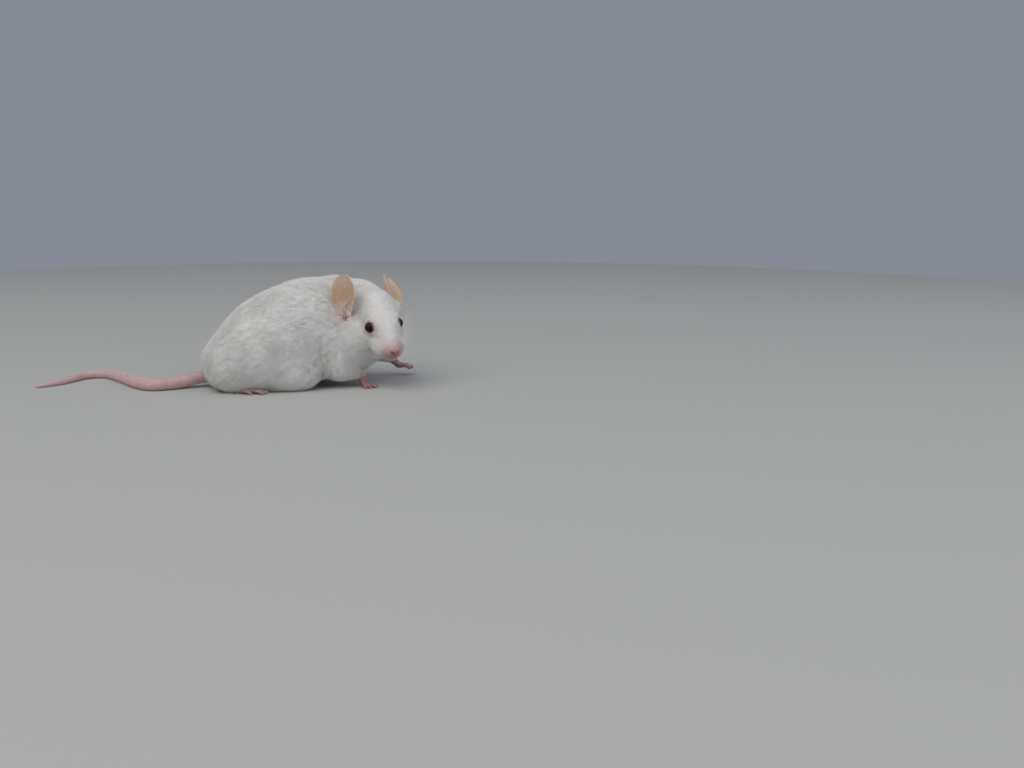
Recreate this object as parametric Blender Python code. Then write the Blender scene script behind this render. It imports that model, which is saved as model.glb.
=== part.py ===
"""A white pet mouse at life size: it crouches on the floor, with its head turned to its right.

The mouse faces +X, its left is +Y and the floor is z = 0. The origin is on the floor, in the flat of
its belly. The body is a set of named masses, ellipsoids and tapering limbs, that melt into each other
as flesh does under a coat. Each number is a size or a place in millimetres.
"""

import math

import bmesh
import bpy
import numpy as np
from mathutils import Euler, Matrix, Vector

# ---------------------------------------------------------------- driving dimensions, in millimetres
MM = 0.001
GAP = 0.3  # clear space left between two parts that touch
SHARP = math.radians(40)  # an edge that turns more than this stays crisp
BODY_VOXEL, BODY_TRIANGLES = 0.8, 2350
FOREPAW_VOXEL, FOREPAW_TRIANGLES = 0.25, 280
HIND_FOOT_VOXEL, HIND_FOOT_TRIANGLES = 0.3, 320

TRUNK_HALF_WIDTH = 17.6

HEAD_AT = Vector((32.4, -13.0, 17.6))  # between the eyes, level with the nose
HEAD_TURN = Euler((math.radians(5.4), math.radians(24.0), math.radians(-73.0)))
EYE_RADIUS = 1.65
EYE_AT = (0.7, 4.9, 3.95)  # in the head's own axes, for the left eye

EAR_LENGTH = 14.2
EAR_WIDTH = 9.0
EAR_THICKNESS = 0.6
# In the head's own axes: root, the way the ear points, and how far out its hollow looks, in degrees.
EARS = {
    "ear_left": {"side": 1, "root": (-8.9, 6.0, 2.2), "up": (-0.84, 0.24, 0.49), "facing": 15},
    "ear_right": {"side": -1, "root": (-7.1, -8.8, 3.3), "up": (-0.40, -0.11, 0.91), "facing": 44},
}

TAIL_BASE_RADIUS = 2.15
TAIL_TIP_RADIUS = 0.4
TAIL_LENGTHS = 4  # nodes that the tail is divided into
TAIL_SIDES = 8  # round the tail
TAIL_RINGS_PER_LENGTH = 10

SOLE_LENGTH = 10.9  # of a hind foot, from the heel to the knuckles

# The tail's centre line from the rump to the tip: (x, y), lying on the floor in a slack S.
TAIL_LINE = [(-22.5, 1.4), (-28.5, 0.6), (-35.3, -1.6), (-41.5, -2.4), (-47.0, 3.4), (-53.5, 14.6),
             (-60.0, 23.2), (-66.6, 22.6), (-72.4, 14.0), (-79.0, 9.4)]
TAIL_ROOT_HEIGHT = 3.6


# ---------------------------------------------------------------- masses and the field that melts them
def ellipsoid(at, radii, turn=(0.0, 0.0, 0.0)):
    """An egg of flesh: its centre, its three radii and how it is turned, in degrees."""
    matrix = Euler([math.radians(a) for a in turn]).to_matrix()
    return {"kind": "ellipsoid", "at": Vector(at), "radii": Vector(radii), "turn": matrix}


def limb(start, end, start_radius, end_radius):
    """A round limb that tapers from one end to the other."""
    return {"kind": "limb", "at": Vector(start), "end": Vector(end), "radii": (start_radius, end_radius)}


def placed(masses, at, turn):
    """The same masses moved from their own axes into the mouse's: turned first, then put at a point."""
    matrix = turn.to_matrix()
    moved = []
    for mass in masses:
        copy = dict(mass, at=Vector(at) + matrix @ mass["at"])
        if mass["kind"] == "limb":
            copy["end"] = Vector(at) + matrix @ mass["end"]
        else:
            copy["turn"] = matrix @ mass["turn"]
        moved.append(copy)
    return moved


def mirrored(masses):
    """The masses given for the left side, with their twins on the right."""
    flip = Matrix.Diagonal((1, -1, 1))
    twins = []
    for mass in masses:
        twin = dict(mass, at=flip @ mass["at"])
        if mass["kind"] == "limb":
            twin["end"] = flip @ mass["end"]
        else:
            twin["turn"] = flip @ mass["turn"] @ flip
        twins.append(twin)
    return masses + twins


def distance(mass, points):
    """How far each point lies outside one mass, below zero inside it."""
    if mass["kind"] == "limb":
        along = np.array(mass["end"] - mass["at"])
        offset = points - np.array(mass["at"])
        share = np.clip(offset @ along / (along @ along), 0, 1)
        radius = mass["radii"][0] + share * (mass["radii"][1] - mass["radii"][0])
        return np.linalg.norm(offset - share[:, None] * along, axis=1) - radius
    local = (points - np.array(mass["at"])) @ np.array(mass["turn"])
    radii = np.array(mass["radii"])
    reach = np.linalg.norm(local / radii, axis=1)
    slope = np.linalg.norm(local / radii**2, axis=1)
    return reach * (reach - 1) / np.maximum(slope, 1e-9)


def field(groups, points):
    """The melted distance to all the masses: a soft minimum inside each group, then between the groups."""
    def soft_minimum(values, softness):
        lowest = values.min(0)
        return lowest - softness * np.log(np.exp((lowest - values) / softness).sum(0))

    melted = [soft_minimum(np.stack([distance(m, points) for m in group["masses"]]), group["softness"])
              for group in groups]
    return soft_minimum(np.stack(melted), np.mean([group["softness"] for group in groups]))


def settle(points, groups, farthest):
    """Moves each point straight to where the field is zero, by Newton's steps down its slope, but no
    farther than a limit: in a sharp crease the slope turns over, and points would cross each other."""
    start = points
    reach = 0.02
    for _ in range(4):
        value = field(groups, points)
        slope = np.stack([(field(groups, points + reach * axis) - field(groups, points - reach * axis))
                          / (2 * reach) for axis in np.eye(3)], axis=1)
        steepness = np.maximum((slope**2).sum(1), 0.09)
        points = points - slope * (value / steepness)[:, None]
    move = points - start
    length = np.maximum(np.linalg.norm(move, axis=1, keepdims=True), 1e-9)
    return start + move * np.minimum(1, farthest / length)


# ---------------------------------------------------------------- Blender helpers
def clear_scene():
    for old in list(bpy.data.objects):
        bpy.data.objects.remove(old)


def material(name, colour, roughness):
    """A Principled finish of one colour."""
    made = bpy.data.materials.new(name)
    made.use_nodes = True
    shader = made.node_tree.nodes["Principled BSDF"]
    shader.inputs["Base Color"].default_value = (*colour, 1.0)
    shader.inputs["Roughness"].default_value = roughness
    return made


def new_object(name, mesh):
    made = bpy.data.objects.new(name, mesh)
    bpy.context.scene.collection.objects.link(made)
    return made


def apply_modifiers(obj):
    """Replaces an object's mesh by what its modifiers make of it."""
    graph = bpy.context.evaluated_depsgraph_get()
    made = bpy.data.meshes.new_from_object(obj.evaluated_get(graph))
    obj.modifiers.clear()
    obj.data = made


def vertices_of(mesh):
    flat = np.empty(len(mesh.vertices) * 3)
    mesh.vertices.foreach_get("co", flat)
    return flat.reshape(-1, 3)


def set_vertices(mesh, points):
    mesh.vertices.foreach_set("co", points.ravel())
    mesh.update()


def ball(work, at, radii, turn):
    """Adds one round lump to a bmesh, its centre and radii in millimetres."""
    place = Matrix.Translation(at) @ turn.to_4x4() @ Matrix.Diagonal((*radii, 1))
    bmesh.ops.create_icosphere(work, subdivisions=3, radius=1.0, matrix=place)


def fuse(name, groups, voxel, triangles):
    """One closed skin round all the masses: lumps are joined by a voxel remesh and settled on the melted
    field, twice over, then thinned to a number of triangles and cut flat at the floor."""
    work = bmesh.new()
    for mass in [m for group in groups for m in group["masses"]]:
        if mass["kind"] == "ellipsoid":
            ball(work, mass["at"], mass["radii"], mass["turn"])
            continue
        for share in np.linspace(0, 1, 9):
            radius = mass["radii"][0] + share * (mass["radii"][1] - mass["radii"][0])
            ball(work, mass["at"].lerp(mass["end"], share), (radius,) * 3, Matrix.Identity(3))
    mesh = bpy.data.meshes.new(name)
    work.to_mesh(mesh)
    work.free()
    obj = new_object(name, mesh)
    for farthest in (4 * voxel, 0.5 * voxel):
        remesh = obj.modifiers.new("fuse", "REMESH")
        remesh.mode = "VOXEL"
        remesh.voxel_size = voxel
        apply_modifiers(obj)
        set_vertices(obj.data, settle(vertices_of(obj.data), groups, farthest))
    thin = obj.modifiers.new("thin", "DECIMATE")
    thin.ratio = min(1.0, triangles / (2 * len(obj.data.polygons)))
    thin.use_collapse_triangulate = True
    apply_modifiers(obj)
    cut(obj, block(name + "_floor", (-90, -60, -20), (90, 60, 0)))
    return obj


def hide(obj):
    """Marks a cutter, which is no part of the mouse."""
    obj.hide_render = True
    obj.display_type = "WIRE"
    return obj


def helper(name, build):
    """A hidden cutter, whose mesh is made by build(bmesh)."""
    work = bmesh.new()
    build(work)
    bmesh.ops.recalc_face_normals(work, faces=work.faces)
    mesh = bpy.data.meshes.new(name)
    work.to_mesh(mesh)
    work.free()
    return hide(new_object(name, mesh))


def block(name, low, high, place=Matrix.Identity(4), grow=0.0):
    """A box cutter between two corners in its own axes, made larger all round by grow."""
    low, high = Vector(low) - Vector((grow,) * 3), Vector(high) + Vector((grow,) * 3)
    centre, size = (low + high) / 2, high - low
    matrix = place @ Matrix.Translation(centre) @ Matrix.Diagonal((*size, 1))
    return helper(name, lambda work: bmesh.ops.create_cube(work, size=1.0, matrix=matrix))


def egg(name, at, radii, turn=(0, 0, 0), grow=0.0):
    """An ellipsoid cutter turned by angles in degrees, made larger all round by grow."""
    spin = Euler([math.radians(a) for a in turn]).to_matrix().to_4x4()
    place = Matrix.Translation(at) @ spin @ Matrix.Diagonal((*[r + grow for r in radii], 1))
    return helper(name, lambda work: bmesh.ops.create_uvsphere(
        work, u_segments=14, v_segments=8, radius=1.0, matrix=place))


def cut(obj, cutter, operation="DIFFERENCE"):
    """Cuts an object by a cutter at once, or keeps only what lies inside it."""
    boolean = obj.modifiers.new("cut", "BOOLEAN")
    boolean.operation = operation
    boolean.solver = "EXACT"
    boolean.object = cutter
    apply_modifiers(obj)


def part_off(whole, name, cutter):
    """Divides a solid: what lies inside the cutter becomes its own node, and the cutter grown by the gap
    is taken from the rest. cutter(label, grow) makes either one."""
    piece = new_object(name, whole.data.copy())
    cut(piece, cutter(name + "_keep", 0.0), "INTERSECT")
    cut(whole, cutter(name + "_clear", GAP))
    return piece


# ---------------------------------------------------------------- the masses of the mouse
def trunk_masses():
    width = TRUNK_HALF_WIDTH
    return [
        ellipsoid((-15.5, 0.4, 9.0), (11.0, width - 4.4, 9.0), (0, -24, 0)),  # rump
        ellipsoid((-1.5, 0, 14.6), (21.5, width - 0.8, 16.4), (0, -30, 0)),  # loins and belly
        ellipsoid((10.0, 0.3, 18.6), (15.0, width - 3.4, 16.6), (0, -20, 0)),  # rib cage
        ellipsoid((15.5, 0, 11.0), (9.0, 10.5, 7.8)),  # breast
    ]


def haunch_masses():
    """Thigh and bent knee of the left hind leg."""
    return [
        ellipsoid((-8.0, 9.8, 9.0), (13.0, 7.2, 9.0), (0, 4, -6)),
        ellipsoid((4.5, 11.8, 5.8), (8.0, 4.6, 6.2), (0, -4, -4)),
        ellipsoid((-15.4, 9.4, 4.9), (6.8, 4.8, 4.7)),  # hock
    ]


def neck_masses():
    return [
        ellipsoid((19.0, 1.8, 22.6), (9.8, 7.8, 13.1), (0, -8, -20)),  # nape
        ellipsoid((27.0, -0.2, 23.6), (8.4, 6.2, 10.6), (0, -6, -45)),  # behind the ears
        ellipsoid((25.0, -5.0, 14.4), (8.8, 9.0, 8.6)),  # throat and chest
    ]


def foreleg_masses(side, elbow, wrist):
    """Shoulder, upper arm and forearm of one front leg, side +1 on the left."""
    shoulder = (18.0, side * 7.4, 15.4)
    return [
        ellipsoid(shoulder, (7.4, 4.8, 9.4), (0, 16, 0)),
        limb(shoulder, elbow, 4.6, 3.2),
        limb(elbow, wrist, 2.7, 1.5),
    ]


def head_masses():
    """The head in its own axes: x to the nose, z up, its origin between the eyes."""
    paired = [
        ellipsoid((-4.4, 4.4, -1.2), (6.6, 4.1, 5.0), (0, 0, -10)),  # cheek
        ellipsoid((5.4, 2.55, -1.7), (3.8, 2.4, 2.5), (0, 4, -22)),  # whisker pad
        ellipsoid((-0.6, 3.1, 4.7), (3.2, 1.6, 1.6), (0, 12, -16)),  # brow
        ellipsoid((-8.0, 6.7, 3.2), (2.8, 2.0, 3.0)),  # root of the ear
    ]
    single = [
        ellipsoid((-8.0, 0, 3.2), (8.8, 7.4, 7.4), (0, 10, 0)),  # braincase
        ellipsoid((-1.2, 0, 1.9), (7.4, 4.8, 4.9), (0, 16, 0)),  # brow and bridge
        limb((1.0, 0, 1.2), (7.6, 0, -0.5), 4.1, 2.5),  # snout
        ellipsoid((9.2, 0, -0.6), (1.8, 1.5, 1.3)),  # nose
        limb((-5.0, 0, -3.8), (6.2, 0, -4.0), 4.0, 1.9),  # lower jaw
    ]
    return single + mirrored(paired)


def forepaw_masses():
    """A forepaw in its own axes: x along the toes, its sole on z = 0, its origin under the palm."""
    toes = []
    for spread, length in ((-1.0, 2.5), (-0.38, 3.1), (0.3, 3.1), (0.95, 2.4)):
        knuckle = Vector((1.0, spread * 1.25, 0.95))
        tip = knuckle + Vector((length * math.cos(spread * 0.45), length * math.sin(spread * 0.45), -0.5))
        middle = knuckle.lerp(tip, 0.5) + Vector((0, 0, 0.22))
        toes += [limb(knuckle, middle, 0.5, 0.42), limb(middle, tip, 0.42, 0.4)]
    return toes + [
        ellipsoid((0.0, 0, 1.0), (1.8, 1.55, 0.95)),  # palm
        limb((-3.4, 0, 4.2), (-0.9, 0, 1.4), 1.4, 1.1),  # wrist
    ]


def hind_foot_masses():
    """A hind foot in its own axes: x along the toes, its sole on z = 0, its origin under the heel."""
    sole = SOLE_LENGTH
    toes = []
    for spread, setback, length in ((-1.0, 2.0, 3.2), (-0.5, 0.2, 4.8), (0.0, 0.0, 5.0), (0.5, 0.3, 4.7),
                                    (1.0, 2.6, 2.8)):
        knuckle = Vector((sole - setback, spread * 1.65, 1.05))
        tip = knuckle + Vector((length * math.cos(spread * 0.3), length * math.sin(spread * 0.3), -0.55))
        middle = knuckle.lerp(tip, 0.5) + Vector((0, 0, 0.3))
        toes += [limb(knuckle, middle, 0.62, 0.5), limb(middle, tip, 0.5, 0.43)]
    return toes + [
        limb((0.6, 0, 1.5), (sole * 0.55, 0, 1.3), 1.5, 1.35),  # heel and instep
        limb((sole * 0.5, 0, 1.3), (sole - 0.8, 0, 1.15), 1.4, 1.3),
        ellipsoid((sole - 1.2, 0, 1.0), (2.2, 2.15, 1.0)),  # ball of the foot
        limb((-1.0, 0, 3.4), (1.0, 0, 1.8), 1.7, 1.5),  # towards the hock
    ]


# ---------------------------------------------------------------- sheets and tubes
def ear_solid(name, side, thickness, margin=0.0):
    """A round leaf-shaped ear, rolled into a cup: a grid of (height, across) with a front and a back.

    It narrows to its root and widens to a round top. Each row is an arc, which is deep near the root
    and shallow at the rim. Its own axes: z up the ear, x out of its hollow, y across it."""
    rows, columns = 10, 7
    height = np.linspace(0.0, 1.0, rows)
    across = np.linspace(-1.0, 1.0, columns)
    h, a = np.meshgrid(height, across, indexing="ij")
    half = 0.5 * EAR_WIDTH * (0.26 + 0.74 * np.sin(math.pi * np.minimum(h, 0.56) / 1.12) ** 1.3)
    round_top = np.sqrt(np.clip(1 - ((h - 0.56) / 0.452) ** 2, 0, 1))
    half = np.where(h > 0.56, half * round_top, half) + margin
    roll = 1.5 - 0.85 * h  # half the angle that a row turns through
    radius = half / np.sin(np.minimum(roll, 1.35))
    y = radius * np.sin(a * roll)
    x = radius * (1 - np.cos(a * roll)) - 0.10 * EAR_LENGTH * np.sin(math.pi * h * 0.5) ** 2
    z = EAR_LENGTH * h + margin * (2 * h - 1) - 0.9 * a * side * (1 - h) ** 2
    middle = np.stack([x, y, z], axis=-1)
    down_row = np.gradient(middle, axis=0)
    along_row = np.gradient(middle, axis=1)
    normal = np.cross(along_row, down_row)
    normal /= np.maximum(np.linalg.norm(normal, axis=-1, keepdims=True), 1e-9)
    half_thick = (thickness / 2 + margin) * np.ones_like(normal)
    front = (middle + normal * half_thick).reshape(-1, 3)
    back = (middle - normal * half_thick).reshape(-1, 3)

    count = rows * columns
    faces = []
    for r in range(rows - 1):
        for c in range(columns - 1):
            q = (r * columns + c, r * columns + c + 1, (r + 1) * columns + c + 1, (r + 1) * columns + c)
            faces += [q, tuple(count + i for i in reversed(q))]
    grid = np.arange(count).reshape(rows, columns)
    ring = np.concatenate([grid[0], grid[1:, -1], grid[-1, -2::-1], grid[-2:0:-1, 0]]).tolist()
    for first, second in zip(ring, ring[1:] + ring[:1]):
        faces.append((second, first, count + first, count + second))
    mesh = bpy.data.meshes.new(name)
    mesh.from_pydata(np.concatenate([front, back]).tolist(), [], faces)
    work = bmesh.new()
    work.from_mesh(mesh)
    bmesh.ops.remove_doubles(work, verts=work.verts, dist=0.02)
    bmesh.ops.recalc_face_normals(work, faces=work.faces)
    work.to_mesh(mesh)
    work.free()
    return new_object(name, mesh)


def ear_place(name):
    """Where an ear stands on the head: which way it points, and which way its hollow looks."""
    ear = EARS[name]
    up = Vector(ear["up"]).normalized()
    facing = math.radians(ear["facing"]) * ear["side"]
    hollow = Vector((math.cos(facing), math.sin(facing), 0.0))
    hollow = (hollow - up * hollow.dot(up)).normalized()
    turn = Matrix((hollow, up.cross(hollow), up)).transposed()
    return head_place() @ Matrix.Translation(ear["root"]) @ turn.to_4x4()


def smooth_line(points, count):
    """Evenly spaced points on a Catmull-Rom curve through the given ones."""
    known = np.array(points, float)
    known = np.vstack([2 * known[0] - known[1], known, 2 * known[-1] - known[-2]])
    line = []
    for i in range(1, len(known) - 2):
        p0, p1, p2, p3 = known[i - 1:i + 3]
        t = np.linspace(0, 1, 40, endpoint=False)[:, None]
        line.append(0.5 * (2 * p1 + (p2 - p0) * t + (2 * p0 - 5 * p1 + 4 * p2 - p3) * t**2
                           + (3 * p1 - p0 - 3 * p2 + p3) * t**3))
    line = np.vstack(line + [known[-2]])
    run = np.concatenate([[0], np.cumsum(np.linalg.norm(np.diff(line, axis=0), axis=1))])
    even = np.linspace(0, run[-1], count)
    return np.stack([np.interp(even, run, line[:, k]) for k in range(line.shape[1])], axis=1)


def tail_radius(share):
    """The tail's radius at a share of its length: a stout root, a long even taper and a fine tip."""
    return TAIL_TIP_RADIUS + (TAIL_BASE_RADIUS - TAIL_TIP_RADIUS) * (1 - share) ** 0.5


def tail_points(count):
    """The tail's centre line, its way at each point and its radius there: it drops from the rump to the
    floor and then lies along it."""
    line = smooth_line(TAIL_LINE, count)
    share = np.linspace(0, 1, count)
    lying = tail_radius(share) - 0.12
    drop = np.clip(1 - share / 0.17, 0, 1)
    height = lying + (TAIL_ROOT_HEIGHT - lying) * drop * drop * (3 - 2 * drop)
    points = np.column_stack([line, height])
    ways = np.gradient(points, axis=0)
    return points, ways / np.linalg.norm(ways, axis=1, keepdims=True), tail_radius(share)


def tube(name, points, ways, radii, sides):
    """A closed round tube along a line, whose rings stand square to the given ways. One facet is turned
    to the floor."""
    work = bmesh.new()
    rings = []
    for point, way, radius in zip(points, ways, radii.tolist()):
        forward = Vector(way).normalized()
        right = forward.cross(Vector((0, 0, 1))).normalized()
        up = right.cross(forward)
        ring = []
        for k in range(sides):
            angle = 2 * math.pi * (k + 0.5) / sides - math.pi / 2
            corner = Vector(point) + radius * (math.cos(angle) * right + math.sin(angle) * up)
            corner.z = max(corner.z, 0)
            ring.append(work.verts.new(corner))
        rings.append(ring)
    for near, far in zip(rings, rings[1:]):
        for k in range(sides):
            n = (k + 1) % sides
            work.faces.new((near[k], near[n], far[n], far[k]))
    work.faces.new(list(reversed(rings[0])))
    work.faces.new(rings[-1])
    bmesh.ops.recalc_face_normals(work, faces=work.faces)
    mesh = bpy.data.meshes.new(name)
    work.to_mesh(mesh)
    work.free()
    return new_object(name, mesh)


def tail_hollow():
    """The room that the tail's root takes in the rump, a gap wider than the tail."""
    points, ways, radii = tail_points(TAIL_LENGTHS * TAIL_RINGS_PER_LENGTH + 1)
    own = slice(0, TAIL_RINGS_PER_LENGTH)
    line = points[own].copy()
    line[0] -= GAP * ways[0]
    return tube("tail_clear", line, ways[own], radii[own] + GAP, TAIL_SIDES)


def tail_solids():
    """The tail's lengths, one after another, each a gap short of the next."""
    rings = TAIL_LENGTHS * TAIL_RINGS_PER_LENGTH + 1
    points, ways, radii = tail_points(rings)
    made = []
    for k in range(TAIL_LENGTHS):
        own = slice(k * TAIL_RINGS_PER_LENGTH, (k + 1) * TAIL_RINGS_PER_LENGTH + 1)
        line = points[own].copy()
        if k < TAIL_LENGTHS - 1:
            line[-1] -= GAP * ways[own][-1]
        made.append(tube(f"tail_{k + 1}", line, ways[own], radii[own], TAIL_SIDES))
    return made


# ---------------------------------------------------------------- where the feet stand
WRIST = (-2.6, 0, 3.3)  # end of the forearm, in the paw's own axes
PALM_EDGE = (-1.9, 0, 2.4)  # where the paw is cut from its leg
WRIST_TILT = math.radians(50)
FEET = {  # origin of each foot on the floor and the way its toes point, in degrees from +X
    "forepaw_right": {"at": Vector((26.3, -10.0, 0)), "yaw": -58, "lift": 0.0, "elbow": (18.2, -11.0, 6.3)},
    "forepaw_left": {"at": Vector((39.6, 8.2, 0)), "yaw": -8, "lift": 2.5, "elbow": (24.0, 9.8, 9.0)},
    "hind_foot_right": {"at": Vector((-20.0, -9.0, 0)), "yaw": -24},
    "hind_foot_left": {"at": Vector((-20.0, 9.0, 0)), "yaw": 24},
}


def foot_solid(name, masses, voxel, triangles, grow=0.0):
    """One foot where it stands, or the same foot made larger all round by grow."""
    for mass in masses:
        mass["radii"] = Vector(mass["radii"]) + Vector((grow,) * len(mass["radii"]))
    place = foot_place(name.removesuffix("_clear"))
    groups = [{"masses": placed(masses, place.translation, place.to_euler()), "softness": 0.18}]
    return fuse(name, groups, voxel, triangles)


def foot_place(name):
    foot = FEET[name]
    return Matrix.Translation(foot["at"] + Vector((0, 0, foot.get("lift", 0)))) @ Matrix.Rotation(
        math.radians(foot["yaw"]), 4, "Z")


def head_place():
    return Matrix.Translation(HEAD_AT) @ HEAD_TURN.to_matrix().to_4x4()


def body_groups():
    """The furred body: trunk and legs melt broadly, the head more tightly."""
    forelegs = []
    for name, side in (("forepaw_left", 1), ("forepaw_right", -1)):
        wrist = foot_place(name) @ Vector(WRIST)
        forelegs += foreleg_masses(side, FEET[name]["elbow"], wrist)
    return [
        {"masses": trunk_masses() + mirrored(haunch_masses()) + neck_masses() + forelegs, "softness": 1.6},
        {"masses": placed(head_masses(), HEAD_AT, HEAD_TURN), "softness": 0.8},
    ]


# ---------------------------------------------------------------- where the body is divided
def wrist_block(name):
    """A block that holds a forepaw, its near face square across the wrist."""
    place = foot_place(name) @ Matrix.Translation(PALM_EDGE) @ Matrix.Rotation(WRIST_TILT, 4, "Y")
    return lambda label, grow: block(label, (0, -5, -7), (9, 5, 7), place, grow)


def shoulder_egg(side):
    """The egg that holds one foreleg from the shoulder to the wrist."""
    if side > 0:
        return lambda label, grow: egg(label, (27.0, 9.4, 10.0), (14.0, 6.4, 8.6), (0, 20, 0), grow)
    return lambda label, grow: egg(label, (21.4, -10.4, 8.2), (8.6, 6.6, 10.8), (0, -8, 0), grow)


def thigh_egg(side):
    """The egg that holds one thigh and its knee."""
    at, turn = (-5.4, side * 12.6, 6.5), (0, 0, -4 * side)
    return lambda label, grow: egg(label, at, (20.0, 8.8, 12.5), turn, grow)


def head_block(label, grow):
    """Upright faces behind the ears and beside the cheeks, turned as the head is."""
    place = Matrix.Translation(HEAD_AT) @ Matrix.Rotation(HEAD_TURN.z, 4, "Z")
    return block(label, (-9.6, -10.4, -9.2), (15, 10.4, 22), place, grow)


def neck_block(label, grow):
    """One slanting face, from the withers down to the breast."""
    place = Matrix.Translation((15.5, 0, 22)) @ Matrix.Rotation(math.radians(-20), 4, "Y")
    return block(label, (0, -18, -26), (24, 18, 24), place, grow)


def nose_egg(label, grow):
    place = head_place()
    turn = [math.degrees(angle) for angle in HEAD_TURN]
    return egg(label, place @ Vector((10.6, 0, -0.4)), (1.9, 2.0, 1.7), turn, grow)


# ---------------------------------------------------------------- build
def build_mouse():
    clear_scene()
    coat = material("white_coat", (0.82, 0.82, 0.80), 0.85)
    bare = material("bare_pink_skin", (0.72, 0.42, 0.38), 0.55)
    ear_skin = material("ear_skin", (0.80, 0.55, 0.40), 0.6)
    eye_gloss = material("ruby_eye", (0.03, 0.003, 0.006), 0.08)

    trunk = fuse("trunk", body_groups(), BODY_VOXEL, BODY_TRIANGLES)
    furred = [trunk]
    bare_parts = []

    # The paws come first, then each leg, the head and the neck; what is left is the trunk.
    for name in ("forepaw_left", "forepaw_right"):
        paw = foot_solid(name, forepaw_masses(), FOREPAW_VOXEL, FOREPAW_TRIANGLES)
        cutter = wrist_block(name)
        cut(paw, cutter(name + "_keep", 0.0), "INTERSECT")
        cut(trunk, cutter(name + "_clear", GAP))
        bare_parts.append(paw)
    for side, end in ((1, "left"), (-1, "right")):
        furred.append(part_off(trunk, "foreleg_" + end, shoulder_egg(side)))
        furred.append(part_off(trunk, "thigh_" + end, thigh_egg(side)))
    head = part_off(trunk, "head", head_block)
    neck = part_off(trunk, "neck", neck_block)
    furred += [head, neck]
    bare_parts.append(part_off(head, "nose", nose_egg))

    # The hind feet and the tail's root have their own hollows under the coat.
    for name in ("hind_foot_left", "hind_foot_right"):
        foot = foot_solid(name, hind_foot_masses(), HIND_FOOT_VOXEL, HIND_FOOT_TRIANGLES)
        hollow = hide(foot_solid(name + "_clear", hind_foot_masses(), HIND_FOOT_VOXEL,
                                 HIND_FOOT_TRIANGLES // 2, GAP))
        for part in furred[:]:
            if part.name.startswith("thigh") or part is trunk:
                cut(part, hollow)
        bare_parts.append(foot)
    bare_parts += tail_solids()
    hollow = hide(tail_hollow())
    for part in furred:
        if part.name.startswith("thigh") or part is trunk:
            cut(part, hollow)

    ears = []
    for name, ear in EARS.items():
        solid = ear_solid(name, ear["side"], EAR_THICKNESS)
        slot = ear_solid(name + "_clear", ear["side"], EAR_THICKNESS, GAP)
        for made in (solid, slot):
            made.data.transform(ear_place(name))
            hide(made)
        for part in (head, neck):
            cut(part, slot)
        ears.append(solid)

    eyes = []
    for side, name in ((1, "eye_left"), (-1, "eye_right")):
        at = head_place() @ Vector((EYE_AT[0], side * EYE_AT[1], EYE_AT[2]))
        eye = egg(name, at, (EYE_RADIUS,) * 3)
        cut(head, egg(name + "_clear", at, (EYE_RADIUS,) * 3, grow=GAP))
        eyes.append(eye)

    for parts, finish in ((furred, coat), (bare_parts, bare), (ears, ear_skin), (eyes, eye_gloss)):
        for part in parts:
            part.hide_render = False
            part.display_type = "TEXTURED"
            part.data.shade_smooth()
            part.data.set_sharp_from_angle(angle=SHARP)
            part.data.materials.clear()
            part.data.materials.append(finish)
    for obj in bpy.data.objects:
        obj.data.transform(Matrix.Scale(MM, 4))


build_mouse()
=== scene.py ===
# %% [markdown]
# # A white pet mouse, life-size
#
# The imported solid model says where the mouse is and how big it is. This lesson dresses it as a museum's
# model is dressed: one bare skin under everything, eyes, claws and whiskers set into it, and a short
# white coat laid over it tuft by tuft. Everything is worked out in millimetres and stored in metres.

import math

import bmesh
import bpy
import numpy as np
from mathutils import Euler, Matrix


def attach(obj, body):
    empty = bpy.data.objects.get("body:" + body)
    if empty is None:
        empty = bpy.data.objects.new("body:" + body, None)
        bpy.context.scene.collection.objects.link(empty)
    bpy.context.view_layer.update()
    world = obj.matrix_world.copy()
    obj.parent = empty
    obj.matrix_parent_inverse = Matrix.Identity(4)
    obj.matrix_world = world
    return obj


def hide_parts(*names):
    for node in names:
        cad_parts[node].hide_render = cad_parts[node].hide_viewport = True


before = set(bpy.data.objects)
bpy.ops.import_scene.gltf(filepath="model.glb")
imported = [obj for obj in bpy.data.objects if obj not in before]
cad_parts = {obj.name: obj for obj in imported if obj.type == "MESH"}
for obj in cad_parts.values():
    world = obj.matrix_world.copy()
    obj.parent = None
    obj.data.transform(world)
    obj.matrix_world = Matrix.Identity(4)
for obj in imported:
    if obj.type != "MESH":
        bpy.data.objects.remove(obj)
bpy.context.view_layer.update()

# %% [markdown]
# ## Millimetres, colours and meshes from whole arrays
#
# A mouse is small, so millimetres are the handy unit. A colour is written as a designer writes it, in
# hex, and turned into linear light once. A mesh could be built face by face, but thousands of small
# tufts go in faster as whole arrays, so one function writes points, faces, a UV map and attributes.

# %% Helpers for meshes and colours
MM = 0.001
TINY = 1e-9  # keeps a division from failing at zero


def linear(hex_colour):
    """Six hex digits of an sRGB colour as linear light: a straight piece near black, then a power."""
    parts = [int(hex_colour[i:i + 2], 16) / 255 for i in (0, 2, 4)]
    return (*[p / 12.92 if p <= 0.04045 else ((p + 0.055) / 1.055) ** 2.4 for p in parts], 1.0)


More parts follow.
